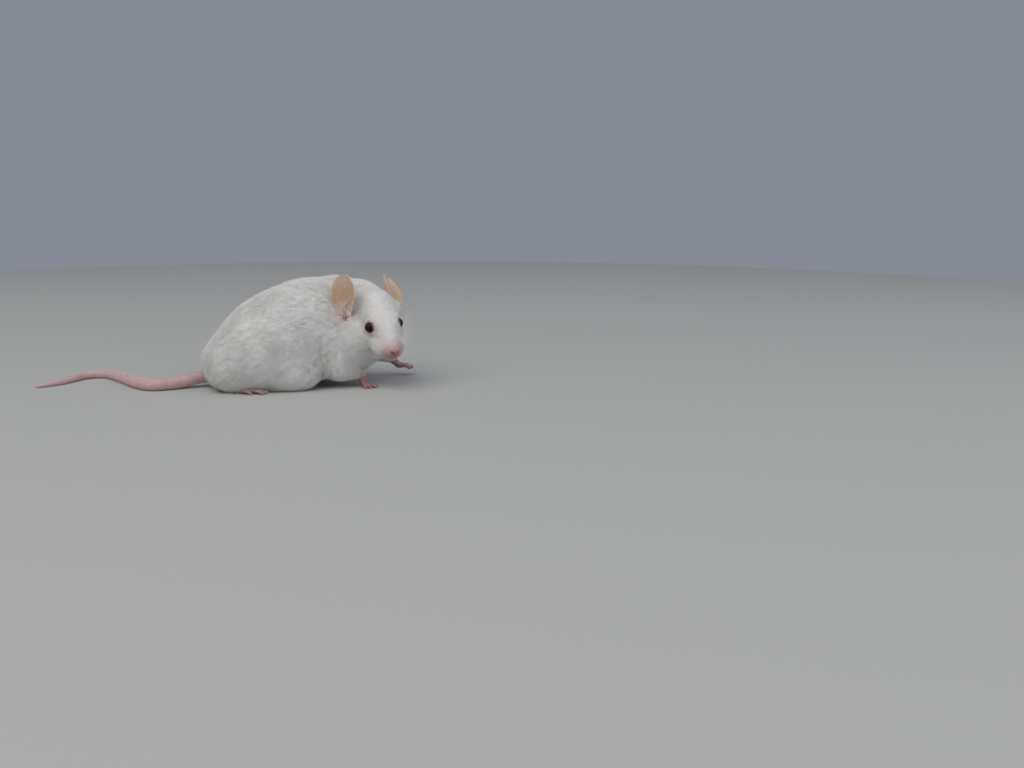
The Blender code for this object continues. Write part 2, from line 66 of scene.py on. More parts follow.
def mesh_from(name, points, faces, uv=None, normals=None, **attributes):
    """A mesh from arrays: points in millimetres, faces as rows of point numbers, a UV pair for each
    corner of each face, a normal for each of those too, and attributes with a number for each point."""
    mesh = bpy.data.meshes.new(name)
    mesh.vertices.add(len(points))
    mesh.vertices.foreach_set("co", (points * MM).astype(np.float32).ravel())
    mesh.loops.add(faces.size)
    mesh.loops.foreach_set("vertex_index", faces.astype(np.int32).ravel())
    mesh.polygons.add(len(faces))
    mesh.polygons.foreach_set("loop_start", np.arange(0, faces.size, faces.shape[1], dtype=np.int32))
    mesh.update(calc_edges=True)
    if uv is not None:
        layer = mesh.uv_layers.new(name="OFBake")
        layer.uv.foreach_set("vector", uv.astype(np.float32).ravel())
    for key, values in attributes.items():
        layer = mesh.attributes.new(key, "FLOAT", "POINT")
        layer.data.foreach_set("value", np.asarray(values, np.float32))
    mesh.shade_smooth()
    if normals is not None:
        mesh.normals_split_custom_set(normals.tolist())
    return mesh


def piece(name, mesh, finish, replaced=()):
    """A finished piece of the mouse, with its material, its body and the solids that it stands for."""
    made = bpy.data.objects.new(name, mesh)
    bpy.context.scene.collection.objects.link(made)
    mesh.materials.append(finish)
    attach(made, "root")
    if replaced:
        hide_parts(*replaced)
    return made


def join_shells(shells):
    """Several (points, faces, attributes) as one: face numbers are shifted past the points before them."""
    starts = np.cumsum([0] + [len(points) for points, _, _ in shells[:-1]])
    points = np.concatenate([points for points, _, _ in shells])
    faces = np.concatenate([faces + start for (_, faces, _), start in zip(shells, starts)])
    keys = shells[0][2].keys()
    return points, faces, {key: np.concatenate([marks[key] for _, _, marks in shells]) for key in keys}


def bell(gap, width):
    """A smooth bump of a distance: exp(-(gap / width)^2), which is 1 at zero and fades past the width."""
    return np.exp(-(gap / width) ** 2)


def unit(ways):
    """Directions at length 1."""
    return ways / (np.linalg.norm(ways, axis=-1, keepdims=True) + TINY)


print("middle grey in linear light:", round(linear("808080")[0], 3))

# %% [markdown]
# ## Flesh as masses that melt together
#
# A sculptor lays on flesh in lumps and smooths them into each other. Here each lump is an ellipsoid or a
# tapering limb, and the body's surface is where a soft minimum of the distances to all of them is zero.
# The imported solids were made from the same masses, so the coat that grows here fits them closely. Each
# mass also carries the way its fur lies and how deep, long, wide and dense its tufts are, and points
# between masses take a blend, as on a real coat, where the lie turns smoothly over the body.

# %% Masses: shape, lie of the fur and kind of coat
# Depth of the coat, length of a tuft, width of a tuft (all mm) and tufts to a square millimetre.
COATS = {
    "long": (1.5, 5.0, 0.21, 16.5),
    "neck": (1.4, 4.2, 0.20, 19.0),
    "leg": (0.9, 3.0, 0.17, 24.0),
    "wrist": (0.35, 1.6, 0.12, 34.0),
    "crown": (0.9, 2.7, 0.15, 30.0),
    "cheek": (0.8, 2.3, 0.14, 32.0),
    "bridge": (0.5, 1.5, 0.11, 42.0),
    "muzzle": (0.3, 0.95, 0.085, 50.0),
    "bare": (0.0, 0.5, 0.06, 0.0),
}


def egg(at, radii, turn, lie, coat):
    """An ellipsoid of flesh, turned by three angles in degrees."""
    spin = np.array(Euler([math.radians(a) for a in turn]).to_matrix())
    return {"at": np.array(at, float), "radii": np.array(radii, float), "turn": spin,
            "lie": np.array(lie, float), "coat": np.array(COATS[coat])}


def limb(start, end, radii, lie, coat):
    """A round limb whose radius changes evenly from its start to its end."""
    return {"at": np.array(start, float), "end": np.array(end, float), "radii": np.array(radii, float),
            "lie": np.array(lie, float), "coat": np.array(COATS[coat])}


def placed(masses, at, turn):
    """Masses given in their own axes, turned by a matrix and moved to a point."""
    moved = []
    for mass in masses:
        copy = dict(mass, at=at + turn @ mass["at"], lie=turn @ mass["lie"])
        if "end" in mass:
            copy["end"] = at + turn @ mass["end"]
        else:
            copy["turn"] = turn @ mass["turn"]
        moved.append(copy)
    return moved


def both_sides(masses):
    """Masses of the left side and their mirror twins."""
    flip = np.diag([1.0, -1.0, 1.0])
    twins = [dict(m, turn=m["turn"] @ flip) if "turn" in m else m for m in masses]
    return masses + placed(twins, np.zeros(3), flip)


print(len(COATS), "kinds of coat, up to", max(depth for depth, *_ in COATS.values()), "mm deep")

# %% [markdown]
# ## Where the head and the feet are
#
# The head looks to the mouse's right and a little down, so its masses are given in axes of their own:
# x to the nose, z to the crown. Each foot stands on the floor with its toes turned a known way.

# %% Head and feet
HEAD_AT = np.array([32.4, -13.0, 17.6])
HEAD_TURN = np.array(Euler([math.radians(a) for a in (5.4, 24.0, -73.0)]).to_matrix())
EYE_AT = np.array([0.7, 4.9, 3.95])  # of the left eye, in the head's axes
EYE_RADIUS = 1.65
FEET = {
    "forepaw_right": {"at": (26.3, -10.0, 0.0), "yaw": -58, "elbow": (18.2, -11.0, 6.3), "side": -1},
    "forepaw_left": {"at": (39.6, 8.2, 2.5), "yaw": -8, "elbow": (24.0, 9.8, 9.0), "side": 1},
    "hind_foot_right": {"at": (-20.0, -9.0, 0.0), "yaw": -24},
    "hind_foot_left": {"at": (-20.0, 9.0, 0.0), "yaw": 24},
}
WRIST = np.array([-2.6, 0.0, 3.3])  # end of the forearm, in the paw's axes


def head(local):
    """A point or points from the head's axes to the mouse's."""
    return HEAD_AT + np.asarray(local, float) @ HEAD_TURN.T


def in_head(points):
    """Points from the mouse's axes to the head's."""
    return (points - HEAD_AT) @ HEAD_TURN


def from_eye(points, side):
    """The way to each point from the middle of the left (1) or right (-1) eye, and how far it is."""
    away = points - head(EYE_AT * (1, side, 1))
    return away, np.linalg.norm(away, axis=1) + TINY


def eye_gap(points):
    """How far each point is from the middle of the nearer eye."""
    return np.minimum(from_eye(points, 1)[1], from_eye(points, -1)[1])


def foot_axes(name):
    """Where a foot stands and the matrix that turns its own axes into the mouse's."""
    yaw = math.radians(FEET[name]["yaw"])
    turn = np.array([[math.cos(yaw), -math.sin(yaw), 0], [math.sin(yaw), math.cos(yaw), 0], [0, 0, 1]])
    return np.array(FEET[name]["at"]), turn


print("near eye, mm:", head(EYE_AT * (1, -1, 1)).round(1), "near wrist, mm:",
      (foot_axes("forepaw_right")[0] + foot_axes("forepaw_right")[1] @ WRIST).round(1))

# %% [markdown]
# ## The body's masses
#
# A crouching mouse is a big egg of loins and ribs over broad haunches, with the forelegs tucked in front.
# Fur lies from the nose backwards over the back to the tail, slants down the flanks and runs down each
# leg. Each mass has a place, radii, a turn, the way of its fur, which is laid flat on the skin later, and
# a kind of coat.

# %% Trunk, neck and legs
HALF_WIDTH = 17.6
ELBOW_TUCK = 0.9  # how far the elbow's flesh lies inside the elbow's joint
UPPER_ARM, FOREARM = 11, 8  # about their lengths
TRUNK = [
    egg((-15.5, 0.4, 9.0), (11.0, HALF_WIDTH - 4.4, 9.0), (0, -24, 0), (-0.9, 0, -0.5), "long"),  # rump
    egg((-1.5, 0, 14.6), (21.5, HALF_WIDTH - 0.8, 16.4), (0, -30, 0), (-1, 0, -0.3), "long"),  # loins
    egg((10.0, 0.3, 18.6), (15.0, HALF_WIDTH - 3.4, 16.6), (0, -20, 0), (-1, 0, -0.25), "long"),  # ribs
    egg((15.5, 0, 11.0), (9.0, 10.5, 7.8), (0, 0, 0), (-0.8, 0, -0.6), "neck"),  # breast
    egg((19.0, 1.8, 22.6), (9.8, 7.8, 13.1), (0, -8, -20), (-0.95, 0.25, -0.2), "neck"),  # nape
    egg((27.0, -0.2, 23.6), (8.4, 6.2, 10.6), (0, -6, -45), (-0.65, 0.6, -0.25), "neck"),
    egg((25.0, -5.0, 14.4), (8.8, 9.0, 8.6), (0, 0, 0), (-0.6, 0.2, -0.75), "neck"),  # throat
]
HAUNCH = [
    egg((-8.0, 9.8, 9.0), (13.0, 7.2, 9.0), (0, 4, -6), (-0.75, 0, -0.65), "long"),
    egg((4.5, 11.8, 5.8), (8.0, 4.6, 6.2), (0, -4, -4), (-0.6, 0, -0.8), "long"),  # knee
    egg((-15.4, 9.4, 4.9), (6.8, 4.8, 4.7), (0, 0, 0), (-0.7, 0, -0.7), "long"),  # hock
]
FORELEGS = []
for name in ("forepaw_left", "forepaw_right"):
    at, turn = foot_axes(name)
    shoulder = np.array([18.0, FEET[name]["side"] * 7.4, 15.4])
    elbow = np.array(FEET[name]["elbow"]) - (0, ELBOW_TUCK * FEET[name]["side"], 0)
    wrist = at + turn @ WRIST
    FORELEGS += [
        egg(shoulder, (7.4, 4.8, 9.4), (0, 16, 0), (-0.6, 0, -0.8), "neck"),
        limb(shoulder, elbow, (4.4, 2.9), (elbow - shoulder) / UPPER_ARM + (-0.3, 0, -0.2), "leg"),
        limb(elbow, wrist, (2.7, 1.5), (wrist - elbow) / FOREARM + (-0.2, 0, -0.1), "wrist"),
    ]
BODY = TRUNK + both_sides(HAUNCH) + FORELEGS
print(len(BODY), "masses in the body")

# %% [markdown]
# ## The head's masses
#
# A mouse's head is a wedge: a broad braincase and full cheeks behind, whisker pads and a small nose in
# front, and a low brow over each eye. The masses are in the head's own axes and are then turned with it,
# so that the pose can change without a change to the head.

# %% Head
HEAD_SINGLE = [
    egg((-8.0, 0, 3.2), (8.8, 7.4, 7.4), (0, 10, 0), (-1, 0, -0.05), "crown"),  # braincase
    egg((-1.2, 0, 1.9), (7.4, 4.8, 4.9), (0, 16, 0), (-1, 0, 0.25), "bridge"),
    limb((1.0, 0, 1.2), (7.6, 0, -0.5), (4.1, 2.5), (-1, 0, 0.3), "muzzle"),  # snout
    egg((9.2, 0, -0.6), (1.8, 1.5, 1.3), (0, 0, 0), (-1, 0, 0), "bare"),
    limb((-5.0, 0, -3.8), (6.2, 0, -4.0), (4.0, 1.9), (-0.9, 0, -0.45), "cheek"),  # lower jaw
]
HEAD_PAIRED = [
    egg((-4.4, 4.4, -1.2), (6.6, 4.1, 5.0), (0, 0, -10), (-0.95, 0.25, -0.35), "cheek"),
    egg((5.4, 2.55, -1.7), (3.8, 2.4, 2.5), (0, 4, -22), (-0.85, 0.45, -0.15), "muzzle"),  # whisker pad
    egg((-0.6, 3.1, 4.7), (3.2, 1.6, 1.6), (0, 12, -16), (-1, 0.15, 0.2), "bridge"),  # brow
    egg((-8.0, 6.7, 3.2), (2.8, 2.0, 3.0), (0, 0, 0), (-0.75, 0.2, 0.6), "crown"),  # root of the ear
]
HEAD = placed(HEAD_SINGLE + both_sides(HEAD_PAIRED), HEAD_AT, HEAD_TURN)
print(len(HEAD), "masses in the head")

# %% [markdown]
# ## The field
#
# The field is a number at every point: how far the tips of the coat are, below zero inside. Its slope is
# the way out. Flesh could be joined by hard unions and smoothed after, but a soft minimum joins it and
# smooths it at once, and says which masses a point belongs to.

# %% The field and its slope
SOFTNESS = (1.6, 0.8)  # how far the body's masses and the head's melt together
COAT_BLEND = 3.0  # how far one kind of coat runs into the next


def distance(mass, points):
    """How far each point is outside a mass, and the way straight out of it."""
    offset = points - mass["at"]
    if "end" in mass:
        along = mass["end"] - mass["at"]
        share = np.clip(offset @ along / (along @ along), 0, 1)
        across = offset - share[:, None] * along
        reach = np.linalg.norm(across, axis=1)
        return reach - mass["radii"][0] - share * np.diff(mass["radii"]), across / (reach[:, None] + 1e-6)
    local = offset @ mass["turn"]
    reach = np.linalg.norm(local / mass["radii"], axis=1)
    out = local / mass["radii"] ** 2
    slope = np.linalg.norm(out, axis=1) + TINY
    return reach * (reach - 1) / slope, (out / slope[:, None]) @ mass["turn"].T


def melt(values, softness):
    """A soft minimum of several distances, and each one's share in it."""
    lowest = values.min(0)
    weights = np.exp((lowest - values) / softness)
    total = weights.sum(0)
    return lowest - softness * np.log(total), weights / total


def field(points, groups, softness):
    """The melted distance, its slope and, for each mass, its share in the coat here."""
    values, slopes, sizes = [], [], [len(group) for group in groups]
    for mass in [m for group in groups for m in group]:
        value, slope = distance(mass, points)
        values.append(value)
        slopes.append(slope)
    values = np.array(values)
    parts = [melt(part, soft) for part, soft in zip(np.split(values, np.cumsum(sizes)[:-1]), softness)]
    value, between = melt(np.array([part for part, _ in parts]), np.mean(softness))
    shares = np.concatenate([shares * outer for (_, shares), outer in zip(parts, between)])
    return value, np.einsum("mp,mpk->pk", shares, np.array(slopes)), melt(values, COAT_BLEND)[1]


print("field in the head's middle, mm:", field(HEAD_AT[None], (BODY, HEAD), SOFTNESS)[0].round(1))

# %% [markdown]
# ## Furrows, eye rims and locks
#
# Loose skin creases behind the shoulder, the mouth and nostrils are narrow furrows, the skin swells round
# each eye, and the coat lies in faint locks. All could be sculpted by hand. As formulas they press the
# field in or out, so the skin and every tuft on it follow them alike.

# %% Relief
FURROWS = [  # start, end, half width, depth: creases of loose skin behind the shoulder
    ((13.1, -14.9, 17.5), (12.6, -14.1, 4.0), 0.75, 1.0),
    ((18.0, -14.5, 12.5), (17.4, -15.0, 6.0), 0.7, 0.7),
    ((15.4, -14.6, 10.0), (15.0, -14.6, 4.4), 0.6, 0.5),
]
FACE_FURROWS = [(head(start), head(end), width, depth) for start, end, width, depth in (
    ((10.9, 0, -1.3), (8.4, 0, -3.3), 0.28, 0.45),  # groove of the lip
    ((8.3, 0.3, -3.3), (4.2, 3.3, -3.8), 0.35, 0.5),  # mouth, left
    ((8.3, -0.3, -3.3), (4.2, -3.3, -3.8), 0.35, 0.5),  # mouth, right
    ((10.75, 0.5, -0.75), (10.2, 1.15, -0.35), 0.3, 0.55),  # nostrils
    ((10.75, -0.5, -0.75), (10.2, -1.15, -0.35), 0.3, 0.55),
)]
RIM_HEIGHT, RIM_RADIUS, RIM_WIDTH = 0.48, 2.0, 0.75  # the swelling round each eye
LOCK_COUNT = 16
LOCK_LIE = (-0.86, 0.0, -0.5)  # locks run this way, so their waves are squeezed across it
LOCK_SQUEEZE, LOCK_HEIGHT = 0.65, 0.009  # the height is a share of the coat's depth
LOCK_LENGTHS = np.linspace(1.9, 4.2, LOCK_COUNT)[:, None]
LOCKS = np.random.default_rng(5).normal(size=(LOCK_COUNT, 3))
LOCKS -= LOCK_SQUEEZE * np.outer(LOCKS @ LOCK_LIE, LOCK_LIE)
LOCKS *= 2 * np.pi / LOCK_LENGTHS / np.linalg.norm(LOCKS, axis=1, keepdims=True)
LOCK_STARTS = 0.8 * np.arange(LOCK_COUNT) ** 2


def near_line(points, start, end):
    """How far each point is from a line, and the way straight out from it."""
    return distance({"at": np.array(start), "end": np.array(end), "radii": np.zeros(2)}, points)


def relief(points, depth):
    """What the furrows, the rims round the eyes and the locks of a coat of that depth add to the field and
    to its slope. A furrow and a rim are bells, and a furrow adds half its own slope, since hairs bridge
    it. Locks are sine waves 2 to 4 mm long across the lie of the fur and much longer along it."""
    phase = points @ LOCKS.T + LOCK_STARTS
    rise = LOCK_HEIGHT * depth * np.sin(phase).sum(1)
    tilt = LOCK_HEIGHT * depth[:, None] * (np.cos(phase) @ LOCKS)
    for start, end, width, deep in FURROWS + FACE_FURROWS:
        gap, way = near_line(points, start, end)
        dent = deep * bell(gap, width)
        rise += dent
        tilt -= (gap / width**2 * dent)[:, None] * way
    for side in (1, -1):
        away, gap = from_eye(points, side)
        rim = RIM_HEIGHT * bell(gap - RIM_RADIUS, RIM_WIDTH)
        rise -= rim
        tilt += (2 * (gap - RIM_RADIUS) / RIM_WIDTH**2 * rim / gap)[:, None] * away
    return rise, tilt


print(len(FURROWS), "creases on the flank,", len(FACE_FURROWS), "furrows on the face")

# %% [markdown]
# ## Where a point of the mouse belongs
#
# With the field, its relief and the coat's traits together, any rough point can be slid down the slope to
# the level where it belongs: the skin, the tips of the coat or in between. So one function places both.

# %% Traits, and sliding points home
LEAST_SLOPE = 0.3  # a flatter slope counts as this, so that no step is too long



def mouse(points):
    """The field of the mouse with its relief; the slope without it; the coat's traits, which are the way
    the fur lies, depth, length, width and density; and the slope with the relief."""
    value, slope, shares = field(points, (BODY, HEAD), SOFTNESS)
    traits = shares.T @ np.array([np.concatenate([m["lie"], m["coat"]]) for m in BODY + HEAD])
    rise, tilt = relief(points, traits[:, 3])
    return value + rise, slope, traits, slope + tilt


def slid(points, measured, steps, farthest):
    """Points moved down a slope by how far off they are; measured(points) gives both. No point moves
    farther than a limit, so that none cross in a crease."""
    start = points
    for _ in range(steps):
        off, slope = measured(points)
        points = points - slope * (off / np.maximum((slope**2).sum(1), LEAST_SLOPE**2))[:, None]
    move = points - start
    length = np.linalg.norm(move, axis=1, keepdims=True) + TINY
    return start + move * np.minimum(1, farthest / length)


def settle(points, level, steps=3, farthest=1.6):
    """Points slid to a level, given in coat depths above the skin: 0 is the skin and 1 the tips."""
    def off_level(points):
        value, slope, traits, _ = mouse(points)
        return value + traits[:, 3] * (1 - level), slope
    return slid(points, off_level, steps, farthest)


print("coat's depth at the near eye, mm:", mouse(head([EYE_AT * (1, -1, 1)]))[2][0, 3].round(2))

# %% [markdown]
# ## One skin
#
# Arms and legs branch off a body, so its skin is no single sheet of two parameters. It could be boxes
# extruded and smoothed. The masses are quicker and truer: lumps are fused by a voxel remesh, and each
# point then slides down the field's slope on to the skin's level. The face, where the eye looks first,
# is divided more finely before its points slide home.

# %% Lumps, fused and divided
LIMB_BALLS = 9


def balls(mass):
    """The balls that fill a mass: where each one is, how it is turned and its radii."""
    if "end" not in mass:
        return [(mass["at"], mass["turn"], mass["radii"])]
    first, last = mass["radii"]
    return [(mass["at"] + share * (mass["end"] - mass["at"]), np.eye(3), first + share * (last - first))
            for share in np.linspace(0, 1, LIMB_BALLS)]


def lumps(masses, shrink):
    """A mesh of balls that fill the masses, smaller by a share of the coat's depth."""
    work = bmesh.new()
    for mass in masses:
        for at, turn, radii in balls(mass):
            place = np.eye(4)
            place[:3, :3] = turn * (radii - shrink * mass["coat"][0])
            place[:3, 3] = at
            bmesh.ops.create_icosphere(work, subdivisions=3, radius=1.0, matrix=Matrix(place))
    mesh = bpy.data.meshes.new("lumps")
    work.to_mesh(mesh)
    work.free()
    return mesh


def points_of(mesh):
    """A mesh's points as an array."""
    flat = np.empty(len(mesh.vertices) * 3, np.float32)
    mesh.vertices.foreach_get("co", flat)
    return flat.reshape(-1, 3).astype(float)


def triangles_of(mesh):
    """The mesh's faces as triangles."""
    mesh.calc_loop_triangles()
    found = np.empty(len(mesh.loop_triangles) * 3, np.int32)
    mesh.loop_triangles.foreach_get("vertices", found)
    return found.reshape(-1, 3)


def fused(mesh, voxel, slide):
    """A closed skin round the lumps: remeshed in voxels and slid home, twice over, so that no fold is
    left."""
    obj = bpy.data.objects.new("fused", mesh)
    bpy.context.scene.collection.objects.link(obj)
    for farthest in (4 * voxel, voxel):
        remesh = obj.modifiers.new("fuse", "REMESH")
        remesh.mode = "VOXEL"
        remesh.voxel_size = voxel
        graph = bpy.context.evaluated_depsgraph_get()
        made = bpy.data.meshes.new_from_object(obj.evaluated_get(graph))
        obj.modifiers.clear()
        obj.data = made
        made.vertices.foreach_set("co", slide(points_of(made), farthest).astype(np.float32).ravel())
    bpy.data.objects.remove(obj)
    return made


def finer(mesh, near):
    """Divides the faces for which near(centres) is true into four."""
    work = bmesh.new()
    work.from_mesh(mesh)
    centres = np.array([face.calc_center_median() for face in work.faces])
    chosen = near(centres)
    edges = {edge for face, yes in zip(work.faces, chosen) if yes for edge in face.edges}
    bmesh.ops.subdivide_edges(work, edges=sorted(edges, key=lambda e: e.index), cuts=1, use_grid_fill=True)
    work.to_mesh(mesh)
    work.free()


body_mesh = lumps(BODY + HEAD, 1.0)
print("lumps:", len(body_mesh.polygons), "faces")

# %% [markdown]
# ### The body's skin
#
# The whole body is fused at once, so that there is no seam between its parts. The belly's skin stays
# a little above the floor, since the mouse rests on its pressed fur.

# %% Fuse the body
SKIN_VOXEL = 0.6
FLOOR_CLEAR = 0.5
NAPE = -8.5  # in the head's axes: in front of this, faces are divided once
EYE_ZONE, SNOUT_ZONE = 3.2, (6.5, 14.0)  # and here once more: round the eyes, and round nose and mouth


def near_features(points):
    """True round the eyes, the nose and the mouth."""
    ahead = in_head(points)[:, 0]
    return (eye_gap(points) < EYE_ZONE) | ((ahead > SNOUT_ZONE[0]) & (ahead < SNOUT_ZONE[1]))


def slide_skin(points, farthest):
    """Skin points settle at the coat's root, and rest just above the floor."""
    points = settle(points, 0.0, farthest=farthest)
    points[:, 2] = np.maximum(points[:, 2], FLOOR_CLEAR)
    return points


body_mesh = fused(body_mesh, SKIN_VOXEL, slide_skin)
finer(body_mesh, lambda centres: in_head(centres)[:, 0] > NAPE)
finer(body_mesh, near_features)
body_points = slide_skin(points_of(body_mesh), SKIN_VOXEL)
body_mesh.vertices.foreach_set("co", body_points.astype(np.float32).ravel())
body_mesh.update()
print("body's skin:", len(body_mesh.vertices), "points")

# %% [markdown]
# ## Surfaces lofted from rings
#
# A tail, an ear, a claw, an eyelid and a whisker are all rings of points, one after another. They could
# be curves with a bevel. Rings from one formula give each its own section at each place, and closing
# the ends to a point keeps every piece a closed solid.

# %% Loft rings into a closed surface
def lofted(rings, loop=False):
    """Rings as an array (count, round, 3) joined into a closed surface of triangles. Rings i and i + 1
    share quads, each cut in two. The ends are fans to their middle, or the last ring joins the first.
    Faces look outwards when each ring turns anticlockwise, seen from the ring before it."""
    count, around, _ = rings.shape
    grid = np.arange(count * around).reshape(count, around)
    following = np.roll(grid, -1, axis=0) if loop else grid[1:]
    near = grid if loop else grid[:-1]
    a, b = near, np.roll(near, -1, axis=1)
    c, d = np.roll(following, -1, axis=1), following
    faces = np.concatenate([np.stack(t, -1).reshape(-1, 3) for t in ((a, c, b), (a, d, c))])
    points = rings.reshape(-1, 3)
    if loop:
        return points, faces
    ends = np.stack([rings[0].mean(0), rings[-1].mean(0)])
    first, last = count * around, count * around + 1
    start_fan = np.stack([np.full(around, first), grid[0], np.roll(grid[0], -1)], -1)
    end_fan = np.stack([np.full(around, last), np.roll(grid[-1], -1), grid[-1]], -1)
    return np.concatenate([points, ends]), np.concatenate([faces, start_fan, end_fan])


def frames_along(line):
    """For each point of a line, the way along it and two ways square to it, the second as near up as can
    be."""
    ways = np.gradient(line, axis=0)
    ways /= np.linalg.norm(ways, axis=1, keepdims=True)
    side = np.cross(ways, (0.0, 0.0, 1.0))
    side /= np.linalg.norm(side, axis=1, keepdims=True)
    return ways, side, np.cross(side, ways)


def tube(line, radii, around):
    """A round tube: at each point of the line, a circle of that radius square to the way along."""
    _, side, up = frames_along(line)
    angle = np.linspace(0, 2 * np.pi, around, endpoint=False)[None, :, None]
    ring = np.cos(angle) * side[:, None] + np.sin(angle) * up[:, None]
    return line[:, None] + ring * np.asarray(radii)[:, None, None]


def smooth_line(points, count):
    """Evenly spaced points on a Catmull-Rom curve: each stretch is a cubic that leaves its start and
    reaches its end in the direction of their neighbours."""
    known = np.array(points, float)
    known = np.vstack([2 * known[0] - known[1], known, 2 * known[-1] - known[-2]])
    t = np.linspace(0, 1, 40, endpoint=False)[None, :, None]
    p0, p1, p2, p3 = [known[k:len(known) - 3 + k, None] for k in range(4)]
    line = 0.5 * (2 * p1 + (p2 - p0) * t + (2 * p0 - 5 * p1 + 4 * p2 - p3) * t**2
                  + (3 * p1 - p0 - 3 * p2 + p3) * t**3)
    line = np.vstack([line.reshape(-1, known.shape[1]), known[-2]])
    run = np.concatenate([[0], np.cumsum(np.linalg.norm(np.diff(line, axis=0), axis=1))])
    even = np.linspace(0, run[-1], count)
    return np.stack([np.interp(even, run, column) for column in line.T], axis=1)


print("a loft of 3 rings of 8 points:", len(lofted(np.zeros((3, 8, 3)))[1]), "triangles")

# %% [markdown]
# ## The tail
#
# A mouse's tail is bare to the eye, with rings of small scales about half a millimetre apart and a short
# hair behind each scale. A bump map would do for the rings, but the outline would be too smooth, so the
# tube's own radius swells and drops at each ring.

# %% Tail
TAIL_LINE = [(-22.5, 1.4), (-28.5, 0.6), (-35.3, -1.6), (-41.5, -2.4), (-47.0, 3.4), (-53.5, 14.6),
             (-60.0, 23.2), (-66.6, 22.6), (-72.4, 14.0), (-79.0, 9.4)]
TAIL_BASE, TAIL_TIP, TAIL_ROOT_HEIGHT = 2.15, 0.4, 3.6  # radii, and the height of its middle
TAIL_DROP = 0.17  # the share of its length in which it comes down to the floor
TAIL_PRESS = 0.04  # how far its own weight flattens it there
TAIL_RINGS, TAIL_ROUND = 150, 16
SCALE_TOOTH = (-0.03, 0.0, 0.02)  # the radius over one ring of scales


def tail_line(count):
    """The tail's middle line and radius: it drops from the rump to the floor and lies along it."""
    share = np.linspace(0, 1, count)
    radius = TAIL_TIP + (TAIL_BASE - TAIL_TIP) * (1 - share) ** 0.5
    drop = np.clip(1 - share / TAIL_DROP, 0, 1)
    lying = radius - TAIL_PRESS
    height = lying + (TAIL_ROOT_HEIGHT - lying) * drop * drop * (3 - 2 * drop)
    return np.column_stack([smooth_line(TAIL_LINE, count), height]), radius


def tail_skin():
    """Each ring of scales is a saw tooth: the radius grows over two steps and drops at the third."""
    line, radius = tail_line(TAIL_RINGS * len(SCALE_TOOTH))
    tooth = np.tile(SCALE_TOOTH, TAIL_RINGS) * (0.4 + 0.6 * radius / TAIL_BASE)
    rings = tube(line, radius * (1 + tooth), TAIL_ROUND)
    rings[:, :, 2] = np.maximum(rings[:, :, 2], 0.0)
    return lofted(rings)


tail_points, tail_faces = tail_skin()
print("tail, mm:", np.linalg.norm(np.diff(tail_line(200)[0], axis=0), axis=1).sum().round(1))

# %% [markdown]
# ## The ears
#
# An ear is a thin round leaf rolled into a cup at its root, with a thicker rolled rim and two soft folds
# inside, low down. It could be a flat sheet given a thickness. Here its section is drawn as a closed
# loop for each height, front and back at once, so that the rim and the folds are real.

# %% Ears
EAR_LENGTH, EAR_WIDTH = 14.2, 9.0
EARS = {  # root in the head's axes, the way the ear points, how far out its hollow looks (degrees)
    "left": {"side": 1, "root": (-8.9, 6.0, 2.2), "up": (-0.84, 0.24, 0.49), "facing": 15},
    "right": {"side": -1, "root": (-7.1, -8.8, 3.3), "up": (-0.40, -0.11, 0.91), "facing": 44},
}
EAR_ROWS, EAR_ROUND = 46, 56
EAR_WIDEST, EAR_CAP = 0.56, 0.452  # the share of its height where it is widest, and the round part's above


def ear_axes(ear):
    """A matrix whose rows are the ear's own axes: out of its hollow, across it and up it."""
    up = np.array(ear["up"]) / np.linalg.norm(ear["up"])
    facing = math.radians(ear["facing"]) * ear["side"]
    hollow = np.array([math.cos(facing), math.sin(facing), 0.0])
    hollow -= up * (hollow @ up)
    hollow /= np.linalg.norm(hollow)
    return np.stack([hollow, np.cross(up, hollow), up])


def ear_surface(side, h, a, lift):
    """A point of the ear: h from the root to the tip, a from edge to edge, lift along the leaf's normal.

    Each row is an arc. Its half width grows as a sine to the widest height and then rounds off as an
    ellipse; the arc is deep near the root and shallow at the tip."""
    growth = np.sin(np.pi * np.minimum(h, EAR_WIDEST) / (2 * EAR_WIDEST)) ** 1.3
    half = 0.5 * EAR_WIDTH * (0.26 + 0.74 * growth)
    cap = np.sqrt(np.clip(1 - ((h - EAR_WIDEST) / EAR_CAP) ** 2, 0, 1))
    half = np.where(h > EAR_WIDEST, half * cap, half)
    roll = 1.5 - 0.85 * h
    radius = half / np.sin(np.minimum(roll, 1.35))
    y = (radius - lift) * np.sin(a * roll)
    x = radius - (radius - lift) * np.cos(a * roll) - 0.10 * EAR_LENGTH * np.sin(np.pi * h * 0.5) ** 2
    z = EAR_LENGTH * h - 0.9 * a * side * (1 - h) ** 2
    return np.stack([x, y, z], -1)


